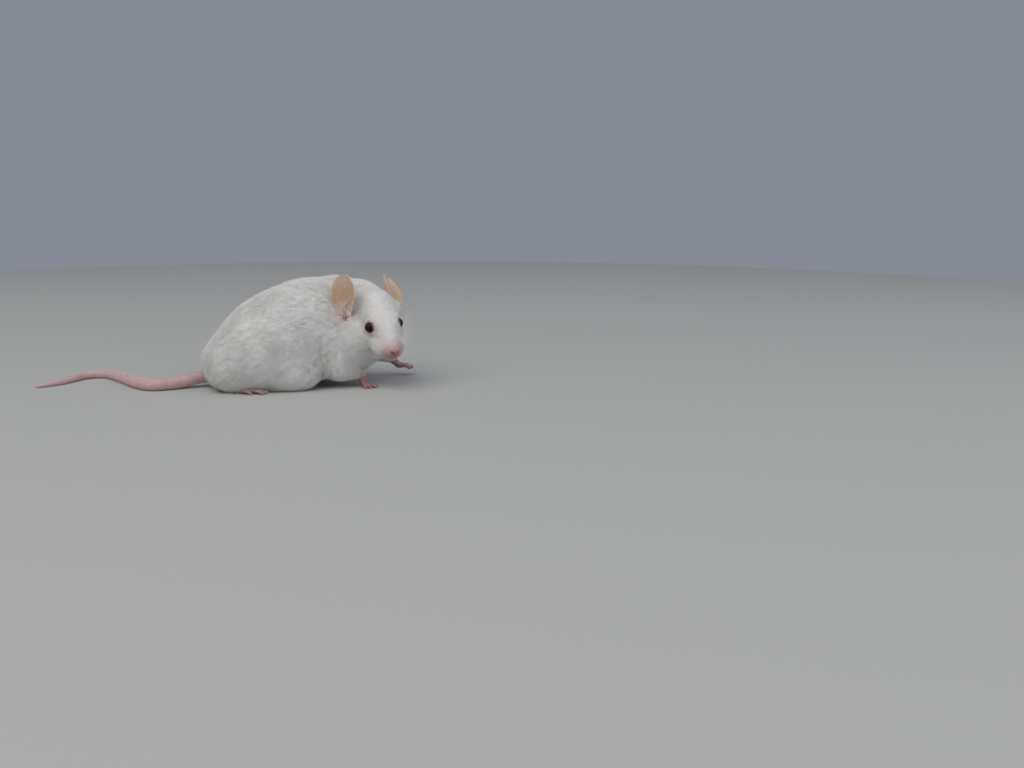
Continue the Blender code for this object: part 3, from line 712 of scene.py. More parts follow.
def ear_skin(ear):
    """The loop of each row runs over the front from edge to edge and back behind it. The leaf is thicker
    at its root and its rim, and two folds rise from its front. Returns points, faces, each point's height
    and whether it is inside the cup."""
    h = np.linspace(0.0, 0.985, EAR_ROWS)[:, None] ** 0.9
    turn = np.linspace(0, 2 * np.pi, EAR_ROUND, endpoint=False)[None, :]
    a = np.cos(turn) * np.ones_like(h)
    front = np.sin(turn)
    thick = 0.17 + 0.12 * (1 - h) + 0.13 * np.abs(a) ** 6 + 0.1 * np.clip((h - 0.9) / 0.1, 0, 1)
    ridge = 0.55 * bell(h - 0.24, 0.10) * bell(a - 0.5 * ear["side"], 0.28)
    shelf = 0.35 * bell(h - 0.36 - 0.2 * a, 0.05) * bell(a + 0.1, 0.45)
    fold = ridge + shelf
    lift = thick * np.sign(front) * np.abs(front) ** 0.5 + fold * (front > 0) * np.abs(front) ** 0.5
    local = ear_surface(ear["side"], h * np.ones_like(turn), a, lift)
    local[:, :, 2] += 0.12 * np.sin(5 * a + 2) * h * (1 - h)
    rings = head(np.array(ear["root"]) + local @ ear_axes(ear))
    points, faces = lofted(rings)
    pale = np.maximum(h, np.abs(a) ** 8 * np.clip(h * 4 - 1, 0, 0.97))
    height = np.append(pale.ravel(), [0, 1])
    inside = np.append(np.tile((front > 0)[0], EAR_ROWS), [False, False]).astype(float)
    return points, faces, height, inside


print("an ear's skin:", len(ear_skin(EARS["left"])[1]), "triangles")

# %% [markdown]
# ## Eyes and eyelids
#
# The eye is a full round bead that stands well out of the head, with a thin pink rim of lid. A hole could
# be cut in the skin for it. The lid is instead a closed ring that grips the eye, and the skin and the
# short hairs of the face run up to it.

# %% Eyes and lids
EYE_SUNK = {1: 0.5, -1: -0.3}  # left and right: how much deeper the eye sits than its solid bead
CORNEA = (0.035, 0.7)  # how much fuller the front is, and how far round that reaches
LID_OPEN = math.radians(87)  # from the eye's axis to the middle of the lid
LID_LONG = 0.07  # how much wider the opening is towards nose and ear
LID_BROAD, LID_THICK = 0.14, 0.17  # half the section, along the eyeball as an angle and out of it in mm
EYE_ROUND, LID_ROUND, LID_SECTION = 48, 64, 10
POLE = 0.02  # a ball's first and last rings are this far round from its poles


def eye_axes(side):
    """The eye's middle, and a matrix whose rows are two ways across the eye and the way it looks."""
    at = head(EYE_AT * (1, side, 1))
    slope = mouse(at[None])[1]
    out = slope[0] / np.linalg.norm(slope[0])
    nose_wards = HEAD_TURN[:, 0] - out * (HEAD_TURN[:, 0] @ out)
    nose_wards /= np.linalg.norm(nose_wards)
    return at - EYE_SUNK[side] * out, np.stack([nose_wards, np.cross(out, nose_wards), out])


def round_axis(side, radius, polar, turn):
    """Points round the eye's axis: at a radius from its middle, an angle from the axis and a turn."""
    at, axes = eye_axes(side)
    across = radius * np.sin(polar)
    local = np.broadcast_arrays(across * np.cos(turn), across * np.sin(turn), radius * np.cos(polar))
    return at + np.stack(local, -1) @ axes


def eye_ball(side):
    """A ball whose front is a little fuller: its radius grows by a smooth bump round its axis."""
    polar = np.linspace(POLE, np.pi - POLE, EYE_ROUND // 2)[:, None]
    turn = np.linspace(0, 2 * np.pi, EYE_ROUND, endpoint=False)[None, :]
    return lofted(round_axis(side, EYE_RADIUS * (1 + CORNEA[0] * bell(polar, CORNEA[1])), polar, turn))


def lid(side):
    """A ring on the eyeball: its opening widens towards the nose and the ear, its section is an ellipse."""
    turn = np.linspace(0, 2 * np.pi, LID_ROUND, endpoint=False)[:, None]
    section = np.linspace(0, 2 * np.pi, LID_SECTION, endpoint=False)[None, :]
    polar = LID_OPEN + LID_LONG * np.cos(2 * turn) - LID_BROAD * np.cos(section)
    radius = EYE_RADIUS + 0.04 - LID_THICK * np.sin(section)
    return lofted(round_axis(side, radius, polar, turn), loop=True)


print("eyeball:", len(eye_ball(1)[1]), "triangles; lid:", len(lid(1)[1]))

# %% [markdown]
# ## Paws and feet
#
# A mouse's forepaw has four fingers and its hind foot five toes, with pads beneath and a small curved
# claw on each. Fingers could be separate tubes. Melting them into the palm, as the body's masses melt,
# gives the webs and knuckles for nothing, so each foot is fused like the body, in much finer voxels.

# %% Toes and feet
SOLE = 10.9  # from the heel to the toes' roots
FORE_TOES = ((-1.0, 2.5), (-0.38, 3.1), (0.3, 3.1), (0.95, 2.4))  # place across the foot, length
HIND_TOES = ((-1.0, 2.0, 3.2), (-0.5, 0.2, 4.8), (0.0, 0.0, 5.0), (0.5, 0.3, 4.7), (1.0, 2.6, 2.8))


def bare_limb(start, end, radii):
    """A limb with no fur on it."""
    return limb(start, end, radii, (1, 0, 0), "bare")


def pad(at, radii, yaw=0.0):
    """A flat egg of flesh with no fur on it."""
    return egg(at, radii, (0, 0, yaw), (1, 0, 0), "bare")


def toe(knuckle, yaw, length, radii, drop, arch):
    """A toe in two lengths, arched over its middle joint. Returns its masses, its tip and its direction."""
    way = np.array([math.cos(yaw), math.sin(yaw), 0.0])
    tip = knuckle + length * way - np.array([0, 0, drop])
    middle = (knuckle + tip) / 2 + np.array([0, 0, arch])
    tip_pad = pad(tip - 0.25 * way - np.array([0, 0, 0.06]),
                  (radii[2] * 1.25, radii[2] * 1.05, radii[2]), math.degrees(yaw))
    return [bare_limb(knuckle, middle, radii[:2]), bare_limb(middle, tip, radii[1:]), tip_pad], tip, way


def foot_parts(name):
    """A foot's masses in its own axes, and the tip and direction of each toe."""
    toes = []
    if name.startswith("fore"):
        for spread, length in FORE_TOES:
            knuckle = np.array([1.0, spread * 1.25, 0.95])
            toes.append(toe(knuckle, spread * 0.45, length, (0.5, 0.42, 0.4), 0.5, 0.22))
        at, turn = foot_axes(name)
        stump = WRIST + 1.2 * unit((FEET[name]["elbow"] - at) @ turn - WRIST)
        masses = [pad((0, 0, 1.0), (1.8, 1.55, 0.95)),
                  bare_limb(stump, (-0.9, 0, 1.4), (1.2, 1.1))]
    else:
        for spread, setback, length in HIND_TOES:
            knuckle = np.array([SOLE - setback, spread * 1.65, 1.05])
            toes.append(toe(knuckle, spread * 0.3, length, (0.62, 0.5, 0.43), 0.55, 0.3))
        masses = [bare_limb((0.6, 0, 1.5), (SOLE * 0.55, 0, 1.3), (1.5, 1.35)),
                  bare_limb((SOLE * 0.5, 0, 1.3), (SOLE - 0.8, 0, 1.15), (1.4, 1.3)),
                  pad((SOLE - 1.2, 0, 1.0), (2.2, 2.15, 1.0)),
                  bare_limb((-1.0, 0, 3.4), (1.0, 0, 1.8), (1.7, 1.5))]
    for toe_masses, _, _ in toes:
        masses += toe_masses
    return masses, [(tip, way) for _, tip, way in toes]


print("masses in each foot:", [len(foot_parts(name)[0]) for name in FEET])

# %% [markdown]
# ### A foot's skin and its claws
#
# A foot's masses are fused as the body's are. A claw is the horn sheath of the toe's last bone, so it
# starts inside the toe and bends down to a point.

# %% Fuse the feet, loft the claws
FORE_VOXEL, HIND_VOXEL, FOOT_SOFTNESS = 0.18, 0.24, 0.18
CLAW_RADIUS, CLAW_BEND = 0.17, 0.42


def foot_skin(name):
    """A foot fused in fine voxels, its points slid on to the level where its masses melt, none below the
    floor."""
    masses = placed(foot_parts(name)[0], *foot_axes(name))

    def off_foot(points):
        return field(points, (masses,), (FOOT_SOFTNESS,))[:2]

    def slide(points, farthest):
        points = slid(points, off_foot, 3, farthest)
        points[:, 2] = np.maximum(points[:, 2], 0.0)
        return points

    mesh = fused(lumps(masses, 0.0), FORE_VOXEL if name.startswith("fore") else HIND_VOXEL, slide)
    return points_of(mesh), triangles_of(mesh)


def claw(tip, way, length):
    """A claw: a circle carried along a short arc that bends down, its radius shrinking to a point."""
    share = np.linspace(0, 1, 6)[:, None]
    start = tip - 0.15 * way + np.array([0, 0, 0.12])
    line = start + way * length * share - np.array([0, 0, CLAW_BEND]) * share**2
    line[:, 2] = np.maximum(line[:, 2], 0.06)
    return lofted(tube(line, CLAW_RADIUS * (1 - share[:, 0]) ** 0.7 + 0.012, 8))


feet = {name: foot_skin(name) for name in FEET}
print("feet:", {name: len(faces) for name, (_, faces) in feet.items()})

# %% [markdown]
# ## One skin from all the shells
#
# Body, tail, ears, lids and feet go into one mesh, each rooted inside the next, so that no seam shows.
# Attributes say where the skin is bare, where it is ear and where it is lip or nose, and one material
# reads them.

# %% Marks on the skin
SKIN_MARKS = ("bare", "ear", "nose", "dark", "along")
NOSE_AT = (10.4, 0, -0.9)  # in the head's axes
EAR_BARE = ((-0.35, 1.1), (-1.5, 1.5), (-1.5, 4.0))  # the bare cup in the ear's axes: out, across, up


def plain(points, faces, **marks):
    """A shell with its marks, each one number or one for each point."""
    return points, faces, {key: np.broadcast_to(marks.get(key, 0.0), len(points)) for key in SKIN_MARKS}


def egg_reach(points, at, radii):
    """How far out each point is in the head's egg of those radii: 1 is its surface."""
    return np.linalg.norm((in_head(points) - at) / radii, axis=1)


def bare_spots(points):
    """True where no fur grows: on the wet nose, in the open eyes and in the cups of the ears."""
    nose = egg_reach(points, (10.6, 0, -0.8), (1.6, 1.35, 1.3)) < 1
    cups = np.zeros(len(points), bool)
    low, high = np.transpose(EAR_BARE)
    for ear in EARS.values():
        in_ear = (in_head(points) - ear["root"]) @ ear_axes(ear).T
        cups |= np.all((low < in_ear) & (in_ear < high), axis=1)
    return nose, eye_gap(points) < EYE_RADIUS + 0.1, cups


nose_mark = np.clip(1.6 - egg_reach(body_points, NOSE_AT, (1.9, 1.7, 1.6)), 0, 1)
muzzle_mark = np.clip(1.5 - egg_reach(body_points, (9.0, 0, -1.4), (3.4, 3.2, 3.2)), 0, 1)
# Painted shade: the skin in the ears' openings and in the grooves of the mouth and nostrils is darkened.
painted_shade_mark = bare_spots(body_points)[2] * 0.8
for start, end, width, _ in FACE_FURROWS:
    painted_shade_mark = np.maximum(painted_shade_mark, bell(near_line(body_points, start, end)[0], width))
print("points on the nose, in the eyes and in the ears:", [int(s.sum()) for s in bare_spots(body_points)])

# %% [markdown]
# ### Join the shells
#
# The body comes first, because the coat is grown on it. Dark marks the lids, whose skin holds more
# blood, the creased grooves of the mouth and nostrils and the ears' openings, where it is painted shade,
# and the feet, where it is partly painted shadow and partly their own redder skin.

# %% One skin
shells = [plain(body_points, triangles_of(body_mesh), bare=muzzle_mark, nose=nose_mark, dark=painted_shade_mark)]
shells.append(plain(tail_points, tail_faces, bare=1.0, along=np.linspace(0, 1, len(tail_points))))
for side in EARS:
    points, faces, height, inside = ear_skin(EARS[side])
    shells.append(plain(points, faces, bare=1.0, ear=0.5 + 0.5 * inside, along=height))
for side in (1, -1):
    shells.append(plain(*lid(side), bare=1.0, dark=0.6))
# The feet are darkened, partly as painted shadow from the fur and chest over them.
for name in FEET:
    shells.append(plain(*feet[name], bare=1.0, dark=0.62))
skin_points, skin_faces, skin_marks = join_shells(shells)
print("skin:", len(skin_faces), "triangles;", [len(faces) for _, faces, _ in shells])

# %% [markdown]
# ## Finishes
#
# Each finish starts from the real thing: thin living skin over blood, wet dark eyes, translucent horn and
# white hair. Skin lets light in a little way and reddens it, so it has subsurface scattering up to a
# millimetre deep. Patterns read the object's own coordinates, at sizes taken from a real mouse.

# %% One function that adds a shader node
def add(tree, kind, settings=None, links=None):
    """A shader node. settings fill its properties, its ramp's stops or its sockets; links join outputs to
    its sockets. A socket is named, or numbered where names repeat."""
    node = tree.nodes.new("ShaderNode" + kind)
    for key, value in (settings or {}).items():
        if key == "stops":
            for stop, (place, colour) in zip([*node.color_ramp.elements, *[
                    node.color_ramp.elements.new(0.5) for _ in value[2:]]], value):
                stop.position, stop.color = place, colour
        elif isinstance(key, str) and hasattr(node, key):
            setattr(node, key, value)
        else:
            node.inputs[key].default_value = value
    for key, output in (links or {}).items():
        tree.links.new(node.inputs[key], output)
    return node


def new_finish(name):
    """A material with an empty tree."""
    made = bpy.data.materials.new(name)
    made.use_nodes = True
    made.node_tree.nodes.clear()
    return made, made.node_tree


def even_finish(name, **settings):
    """A material that is the same all over."""
    made, tree = new_finish(name)
    shader = add(tree, "BsdfPrincipled", {key.replace("_", " "): value for key, value in settings.items()})
    add(tree, "OutputMaterial", links={"Surface": shader.outputs["BSDF"]})
    return made


print("pink of bare skin in linear light:", [round(part, 2) for part in linear("d6b4b3")[:3]])

# %% [markdown]
# ### Thin skin
#
# Bare mouse skin is pink because blood shows through it. It is matt and finely creased, redder at the
# nose, dusty on the tail. An ear has almost nothing between its two sides, so light comes through it: its
# peach, with a paler rim, is painted light. The marks on the mesh choose between these.

# %% Skin finish
def skin_finish():
    """Colour by marks, blotched by blood (3 mm) and creased by a fine bump (0.35 mm apart, 0.05 deep).
    Half rough, as dry skin is; red light goes farthest into it, 1 mm, so thin edges glow."""
    made, tree = new_finish("thin_living_skin")
    place = add(tree, "TexCoord").outputs["Object"]
    marks = {key: add(tree, "Attribute", {"attribute_name": key}).outputs["Fac"]
             for key in SKIN_MARKS}
    blood = add(tree, "TexNoise", {"Scale": 330.0, "Detail": 3.0}, {"Vector": place}).outputs["Fac"]
    colour = add(tree, "ValToRGB", {"stops": [(0.3, linear("cba6a6")), (0.7, linear("d6b4b3"))]},
                 {"Fac": blood}).outputs["Color"]
    under = add(tree, "Mix", {"data_type": "RGBA", 6: linear("d8cfcb")}, {0: marks["bare"], 7: colour})
    # Painted light: the peach along the ear stands for light shining through its thin leaf, paler at the
    # thicker rim and tip.
    ear = add(tree, "ValToRGB", {"stops": [
        (0.0, linear("c9938a")), (0.35, linear("d0967a")), (0.65, linear("c8aa86")),
        (1.0, linear("ddd0bc"))]}, {"Fac": marks["along"]}).outputs["Color"]
    eared = add(tree, "Mix", {"data_type": "RGBA"}, {0: marks["ear"], 6: under.outputs[2], 7: ear})
    nosed = add(tree, "Mix", {"data_type": "RGBA", 7: linear("bb7d80")},
                {0: marks["nose"], 6: eared.outputs[2]})
    # The dark mark mixes towards brown: painted shade in the grooves and the ears' openings, partly painted
    # shadow on the feet, the own colour of lids and whisker beds.
    darkened = add(tree, "Mix", {"data_type": "RGBA", 7: linear("6f443a")},
                   {0: marks["dark"], 6: nosed.outputs[2]})
    crease = add(tree, "TexVoronoi", {"feature": "DISTANCE_TO_EDGE", "Scale": 2800.0}, {"Vector": place})
    bump = add(tree, "Bump", {"Strength": 0.25, "Distance": 0.05 * MM},
               {"Height": crease.outputs["Distance"]})
    shader = add(tree, "BsdfPrincipled", {
        "Roughness": 0.5, "Subsurface Weight": 0.6, "Subsurface Radius": (0.9, 0.35, 0.22),
        "Subsurface Scale": 0.0012}, {"Base Color": darkened.outputs[2], "Normal": bump.outputs["Normal"]})
    add(tree, "OutputMaterial", links={"Surface": shader.outputs["BSDF"]})
    return made


skin_pink = skin_finish()
piece("skin", mesh_from("skin", skin_points, skin_faces, **skin_marks), skin_pink,
      [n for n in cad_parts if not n.startswith("eye")])
print("the skin stands for", len(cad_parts) - 2, "solids")

# %% [markdown]
# ### Eyes, claws
#
# A pink-eyed white mouse's eye is clear: what looks almost black is the blood at its back seen through a
# small pupil. So it is a very dark red with a wet clear coat. Claws are thin translucent horn.

# %% Eyes and claws
FORE_CLAW, HIND_CLAW = 0.9, 1.15  # lengths
# Nearly black ruby under a thin wet film: the film gives a small bright highlight.
wet_eye = even_finish("wet_ruby_eye", Base_Color=linear("2a0609"), Roughness=0.15, IOR=1.2,
                      Coat_Weight=0.2, Coat_Roughness=0.03)
# Thin horn: pale, slightly warm and half glossy, and light passes a little way into it.
horn = even_finish("thin_pale_horn", Base_Color=linear("d9c6b4"), Roughness=0.35, Subsurface_Weight=0.3,
                   Subsurface_Radius=(0.8, 0.5, 0.3), Subsurface_Scale=0.4 * MM)
for name, side in (("left", 1), ("right", -1)):
    piece("eye_ball_" + name, mesh_from("eye_ball_" + name, *eye_ball(side)), wet_eye,
          ["eye_" + name])
claws = []
for name in FEET:
    at, turn = foot_axes(name)
    for tip, way in foot_parts(name)[1]:
        length = FORE_CLAW if name.startswith("fore") else HIND_CLAW
        claws.append(plain(*claw(at + turn @ tip, turn @ way, length)))
points, faces, _ = join_shells(claws)
piece("claws", mesh_from("claws", points, faces), horn)
print(len(claws), "claws")

# %% [markdown]
# ## The coat
#
# A white mouse's hairs are too fine to model one by one. Blender's particle hair would draw them, but it
# isn't mesh, and a model on a shelf needs real surfaces. So hairs are gathered into tufts: flat closed
# slivers of ten triangles, rooted on the skin, that lie along the body and overlap like thatch. They are
# short and fine on the face and long on the back.

# %% Scatter the roots
RANDOM = np.random.default_rng(11)
PRESSED = 0.3  # share of the tufts that is left under the belly, where no one sees them
THINNED = (0.8, 3.0, 0.3)  # tufts thin out towards the nose: from, over, and to this share


def scattered(points, faces, density):
    """Points on triangles and the way out there: to each face its area times its density, rounded up or
    down by chance, each at a random place (1 - sqrt r) a + sqrt r (1 - s) b + sqrt r s c."""
    a, b, c = (points[faces[:, k]] for k in range(3))
    out = np.cross(b - a, c - a)
    twice = np.linalg.norm(out, axis=1) + TINY * TINY
    number = np.floor(0.5 * twice * density + RANDOM.random(len(faces))).astype(int)
    face = np.repeat(np.arange(len(faces)), number)
    r, s = np.sqrt(RANDOM.random(len(face)))[:, None], RANDOM.random(len(face))[:, None]
    return (1 - r) * a[face] + r * (1 - s) * b[face] + r * s * c[face], (out / twice[:, None])[face]


def waves(points, length, seed):
    """Smooth noise in three directions: the sum of sixteen sine waves of about the given length, each in
    a random direction, scaled to about 1."""
    chance = np.random.default_rng(seed)
    ways = chance.normal(size=(16, 3))
    ways *= 2 * np.pi / length / np.linalg.norm(ways, axis=1, keepdims=True)
    ways *= chance.uniform(0.6, 1.5, (16, 1))
    return np.sin(points @ ways.T + chance.uniform(0, 6.3, 16)) @ chance.normal(size=(16, 3)) / 2.8


body_faces = shells[0][1]
centres = body_points[body_faces].mean(1)
density = mouse(centres)[2][:, 6] * np.where(centres[:, 2] < FLOOR_CLEAR + 0.1, PRESSED, 1.0)
near_nose = egg_reach(centres, NOSE_AT, 1.0)
density = density * np.clip((near_nose - THINNED[0]) / THINNED[1], THINNED[2], 1.0)
roots, _ = scattered(body_points, body_faces, density)
roots = roots[~np.any(bare_spots(roots), axis=0)]
print(len(roots), "tufts on the body")

# %% [markdown]
# ### Grow the tufts
#
# Each tuft leaves its root along the lie of the fur, laid flat on the skin by taking away the part that
# points outwards. Its middle settles at a bit over half the coat's depth and its tip at the full depth,
# so tufts follow every curve. Slow waves turn the lie by a few degrees and part the coat into locks, and
# the fur parts round the eyes.

# %% Tufts from root to tip
SWINGS = ((0.08, 9.0, 1), (0.06, 3.0, 2))  # how far waves swing the lie, their length, their seed
HEAVE = (0.04, 2.2, 3)  # the same for waves that raise and lower the tips
PARTING = 1.3  # how far from the eye the lie still turns away from it
LID_CLEAR = 0.22  # no tuft comes closer to the eyeball
ROOT_DEPTH = 0.12  # roots start this far inside the skin
STRAY = 0.13  # how far each tuft strays from its neighbours
MIDDLE_LEVEL, TIP_LEVEL, TIP_SPREAD = 0.62, 0.95, 0.05
GUARD_SHARE, GUARD_RISE = 0.05, 0.3  # guard hairs stand out of the coat by this much of its depth
HELD_ABOVE = np.array([0.0, 0.05, 0.03])  # heights that root, middle and tip don't sink below


def flat(lie, out):
    """A direction laid flat on the skin by taking away the part that points outwards."""
    return unit(lie - out * (lie * out).sum(1, keepdims=True))


def lie_at(points, slope, traits):
    """The lie of the fur here: the traits' direction, swung by waves 9 and 3 mm long, turned away from
    the eyes and laid flat on the skin."""
    out = unit(slope)
    lie = unit(traits[:, :3])
    for swing, length, seed in SWINGS:
        lie = lie + swing * waves(points, length, seed)
    for side in (1, -1):
        away, gap = from_eye(points, side)
        away /= gap[:, None]
        towards = np.minimum((lie * away).sum(1, keepdims=True), 0)
        lie = lie - towards * away * bell(gap - EYE_RADIUS, PARTING)[:, None]
    return flat(lie, out), out


def clear_of_eyes(points):
    """Points pushed out of the eyeballs and their lids."""
    for side in (1, -1):
        at, _ = eye_axes(side)
        away = points - at
        gap = np.linalg.norm(away, axis=1, keepdims=True)
        points = at + away * np.maximum(1, (EYE_RADIUS + LID_CLEAR) / gap)
    return points


def grow(roots):
    """Each tuft's root, middle and tip, the way out of the skin there, its width and its own shade."""
    count = len(roots)
    _, _, traits, slope = mouse(roots)
    lie, out = lie_at(roots, slope, traits)
    spin = RANDOM.normal(0, STRAY, (count, 1))
    lie = lie + spin * np.cross(out, lie)
    length = (traits[:, 4] * RANDOM.uniform(0.75, 1.2, count))[:, None]
    middle = settle(roots + 0.5 * length * lie, MIDDLE_LEVEL, steps=1)
    _, _, middle_traits, slope = mouse(middle)
    on, middle_out = lie_at(middle, slope, middle_traits)
    on = on + spin * np.cross(out, on)
    rise = TIP_LEVEL + HEAVE[0] * waves(roots, *HEAVE[1:])[:, 0] + RANDOM.normal(0, TIP_SPREAD, count)
    rise += np.where(RANDOM.random(count) < GUARD_SHARE, GUARD_RISE, 0.0)
    tip = settle(middle + 0.5 * length * on, rise, steps=2)
    middle, tip = clear_of_eyes(middle), clear_of_eyes(tip)
    line = np.stack([roots - ROOT_DEPTH * out, middle, tip], axis=1)
    line[:, :, 2] = np.maximum(line[:, :, 2], HELD_ABOVE)
    out = np.stack([out, middle_out], axis=1)
    return line, out, traits[:, 5] * RANDOM.uniform(0.8, 1.2, count), RANDOM.random(count)


print("waves swing the lie by about", round(math.degrees(sum(swing for swing, _, _ in SWINGS))), "degrees")

# %% [markdown]
# ### A tuft as a closed sliver
#
# One tuft is seven points: a small triangle at the root, a wider one at the middle, and the tip. Its own
# flat faces would shade it like a blade of metal. Light in a soft coat spreads over many hairs, so each
# corner's normal is set to lean only a little from the skin's.

# %% Slivers
SLIVER = np.array([(0, 1, 2), (0, 4, 1), (0, 3, 4), (1, 5, 2), (1, 4, 5), (2, 3, 0), (2, 5, 3),
                   (3, 6, 4), (4, 6, 5), (5, 6, 3)])
UNDERSIDE = [1, 2, 7]  # faces that look into the coat
LEAN = 0.42  # how far a normal leans to the side
SLIVER_POINTS = 7
ROOT_HALF, MIDDLE_HALF, SLIVER_DEEP = 0.3, 0.5, 0.35  # as shares of its width


def slivers(line, out, width):
    """A closed sliver on each line of three points. Returns points (count, 7, 3), a normal for each corner
    of each face, and faces."""
    root_out, middle_out = out[:, 0], out[:, 1]
    side = unit(np.cross(line[:, 2] - line[:, 0], root_out))
    wide = side * width[:, None]
    deep = SLIVER_DEEP * width[:, None]
    root, middle, tip = line[:, 0], line[:, 1], line[:, 2]
    half_root, half_middle = ROOT_HALF * wide, MIDDLE_HALF * wide
    points = np.stack([root - half_root, root + half_root, root + deep * root_out, middle - half_middle,
                       middle + half_middle, middle + deep * middle_out, tip], axis=1)
    points[:, :, 2] = np.maximum(points[:, :, 2], 0.0)
    leans = LEAN * side
    normals = unit(np.stack([root_out - leans, root_out + leans, root_out, middle_out - leans,
                             middle_out + leans, middle_out, middle_out], axis=1))[:, SLIVER]
    normals[:, UNDERSIDE] = -middle_out[:, None, None]
    faces = SLIVER + SLIVER_POINTS * np.arange(len(line))[:, None, None]
    return points, normals.reshape(-1, 3), faces.reshape(-1, 3)


print("a tuft:", SLIVER_POINTS, "points,", len(SLIVER), "triangles")

# %% [markdown]
# ### Unwrap by the body's own shape
#
# A texture baked for another program needs a flat map. The body's map has the share of the way from rump
# to nose along one side, and the turn round that line along the other. Each tuft is a small patch where
# its root is.

# %% Map
SPINE = smooth_line([(-27, 0, 7), (-14, 0, 13), (2, 0, 17), (15, 0.5, 18), (24, -0.5, 19),
                     (30.5, -7.5, 18.5), (33.5, -17, 15.5), (35.3, -24, 12.8)], 240)
PATCH = 0.003  # the side of a tuft's patch, as a share of the map's
AT_ONCE = 8000  # points are compared with the line in batches of about this many, to save memory
SLIVER_PATCH = np.array([(0, 0.2), (0, 0.8), (0, 0.5), (0.5, 0), (0.5, 1), (0.5, 0.5), (1, 0.5)])


def unwrapped(points):
    """The nearest point of the line from rump to nose as a share of its length, and the turn from the top
    round that line, both from 0 to 1."""
    near = np.concatenate([np.argmin(((part[:, None] - SPINE) ** 2).sum(2), axis=1)
                           for part in np.array_split(points, max(1, len(points) // AT_ONCE))])
    way, side, up = (axis[near] for axis in frames_along(SPINE))
    offset = points - SPINE[near]
    turn = np.arctan2((offset * side).sum(1), (offset * up).sum(1))
    share = near + (offset * way).sum(1) / np.linalg.norm(np.diff(SPINE[:2], axis=0))
    return np.clip(share / (len(SPINE) - 1), 0, 1), turn / (2 * np.pi) + 0.5


def tuft_map(place):
    """For each corner of each sliver, its root's place and a step of its own inside a small patch."""
    return (place[:, None] * (1 - 2 * PATCH) + SLIVER_PATCH * PATCH)[:, SLIVER].reshape(-1, 2)


print("line from rump to nose, mm:", np.linalg.norm(np.diff(SPINE, axis=0), axis=1).sum().round(1))

# %% [markdown]
# ### Where the coat darkens or flushes
#
# White fur isn't one white. Blood shows pink where the hairs are short and few: round the nose and the
# eyes, at the ears' roots and at the wrists. Less light gets into a crease, so shade is painted on the
# furrows behind the near foreleg. Both follow from distances, and go into the mesh as numbers that the
# finish reads.

# %% Creases, flushes and the mesh of tufts
SIDEWAYS = np.array([1.0, 0.0, 1.0])  # leaves out how far a point is to the left
NEAR_SIDE = -8.0  # points farther right than this are on the near flank
CREASE_WIDTH, CREASE_FADE, CREASE_PAINTED_SHADE = 0.5, 6.0, 2.0


def creased(points):
    """Painted shade for the furrows behind the near foreleg, where less light gets in: a bell of the
    distance from each furrow's line, seen from the side, which fades in over the furrow's top."""
    dark = np.zeros(len(points))
    for start, end, _, deep in FURROWS:
        gap, _ = near_line(points * SIDEWAYS, start * SIDEWAYS, end * SIDEWAYS)
        fade = np.clip((start[2] - points[:, 2]) / CREASE_FADE, 0, 1)
        dark = np.maximum(dark, CREASE_PAINTED_SHADE * deep * fade * bell(gap, CREASE_WIDTH))
    return np.where(points[:, 1] < NEAR_SIDE, dark, 0.0)


def tuft_mesh(name, line, out, width, shade, place, flush=0.0):
    """One mesh of slivers, its map filling the square, and marks for tip, shade and flush."""
    points, normals, faces = slivers(line, out, width)
    points = points.reshape(-1, 3)
    place = (place - place.min(0)) / (np.ptp(place, axis=0) + TINY)
    return mesh_from(name, points, faces, tuft_map(place), normals,
                     tip=np.tile([0, 0, 0, 0.5, 0.5, 0.5, 1.0], len(line)),
                     # Each tuft's own shade, less the painted shade of the creases.
                     shade=np.repeat(shade, SLIVER_POINTS) - creased(points),
                     flush=np.repeat(np.broadcast_to(flush, len(line)), SLIVER_POINTS))


wrists = [at + turn @ WRIST for at, turn in (foot_axes("forepaw_left"), foot_axes("forepaw_right"))]
FLUSHES = [(head((10.2, 0, -1.6)), 0.0, 3.3, 1.0)]  # middle, radius, reach beyond it, strength: the nose
FLUSHES += [(head(np.add(ear["root"], ear["up"])), 0.0, 2.6, 0.6) for ear in EARS.values()]
FLUSHES += [(head(EYE_AT * (1, side, 1)), EYE_RADIUS, 0.8, 0.3) for side in (1, -1)]
FLUSHES += [(wrist, 0.0, 3.0, 0.8) for wrist in wrists]


def flushed(points):
    """How much blood shows through the fur: the strongest of the flushes, each a bell of the distance from
    a ball's surface."""
    return np.max([strength * bell(np.linalg.norm(points - middle, axis=1) - radius, reach)
                   for middle, radius, reach, strength in FLUSHES], axis=0)


print(len(FLUSHES), "flushes; the strongest on a tuft:", flushed(roots).max().round(2))

# %% [markdown]
# ### White hair
#
# White hair is clear, with air inside that scatters light. So it is bright, soft and never quite one
# white: creamy at the root where skin shows through, cooler at the tip, and each lock a little different.
# A faint sheen stands for light that slips between hairs at a low angle.

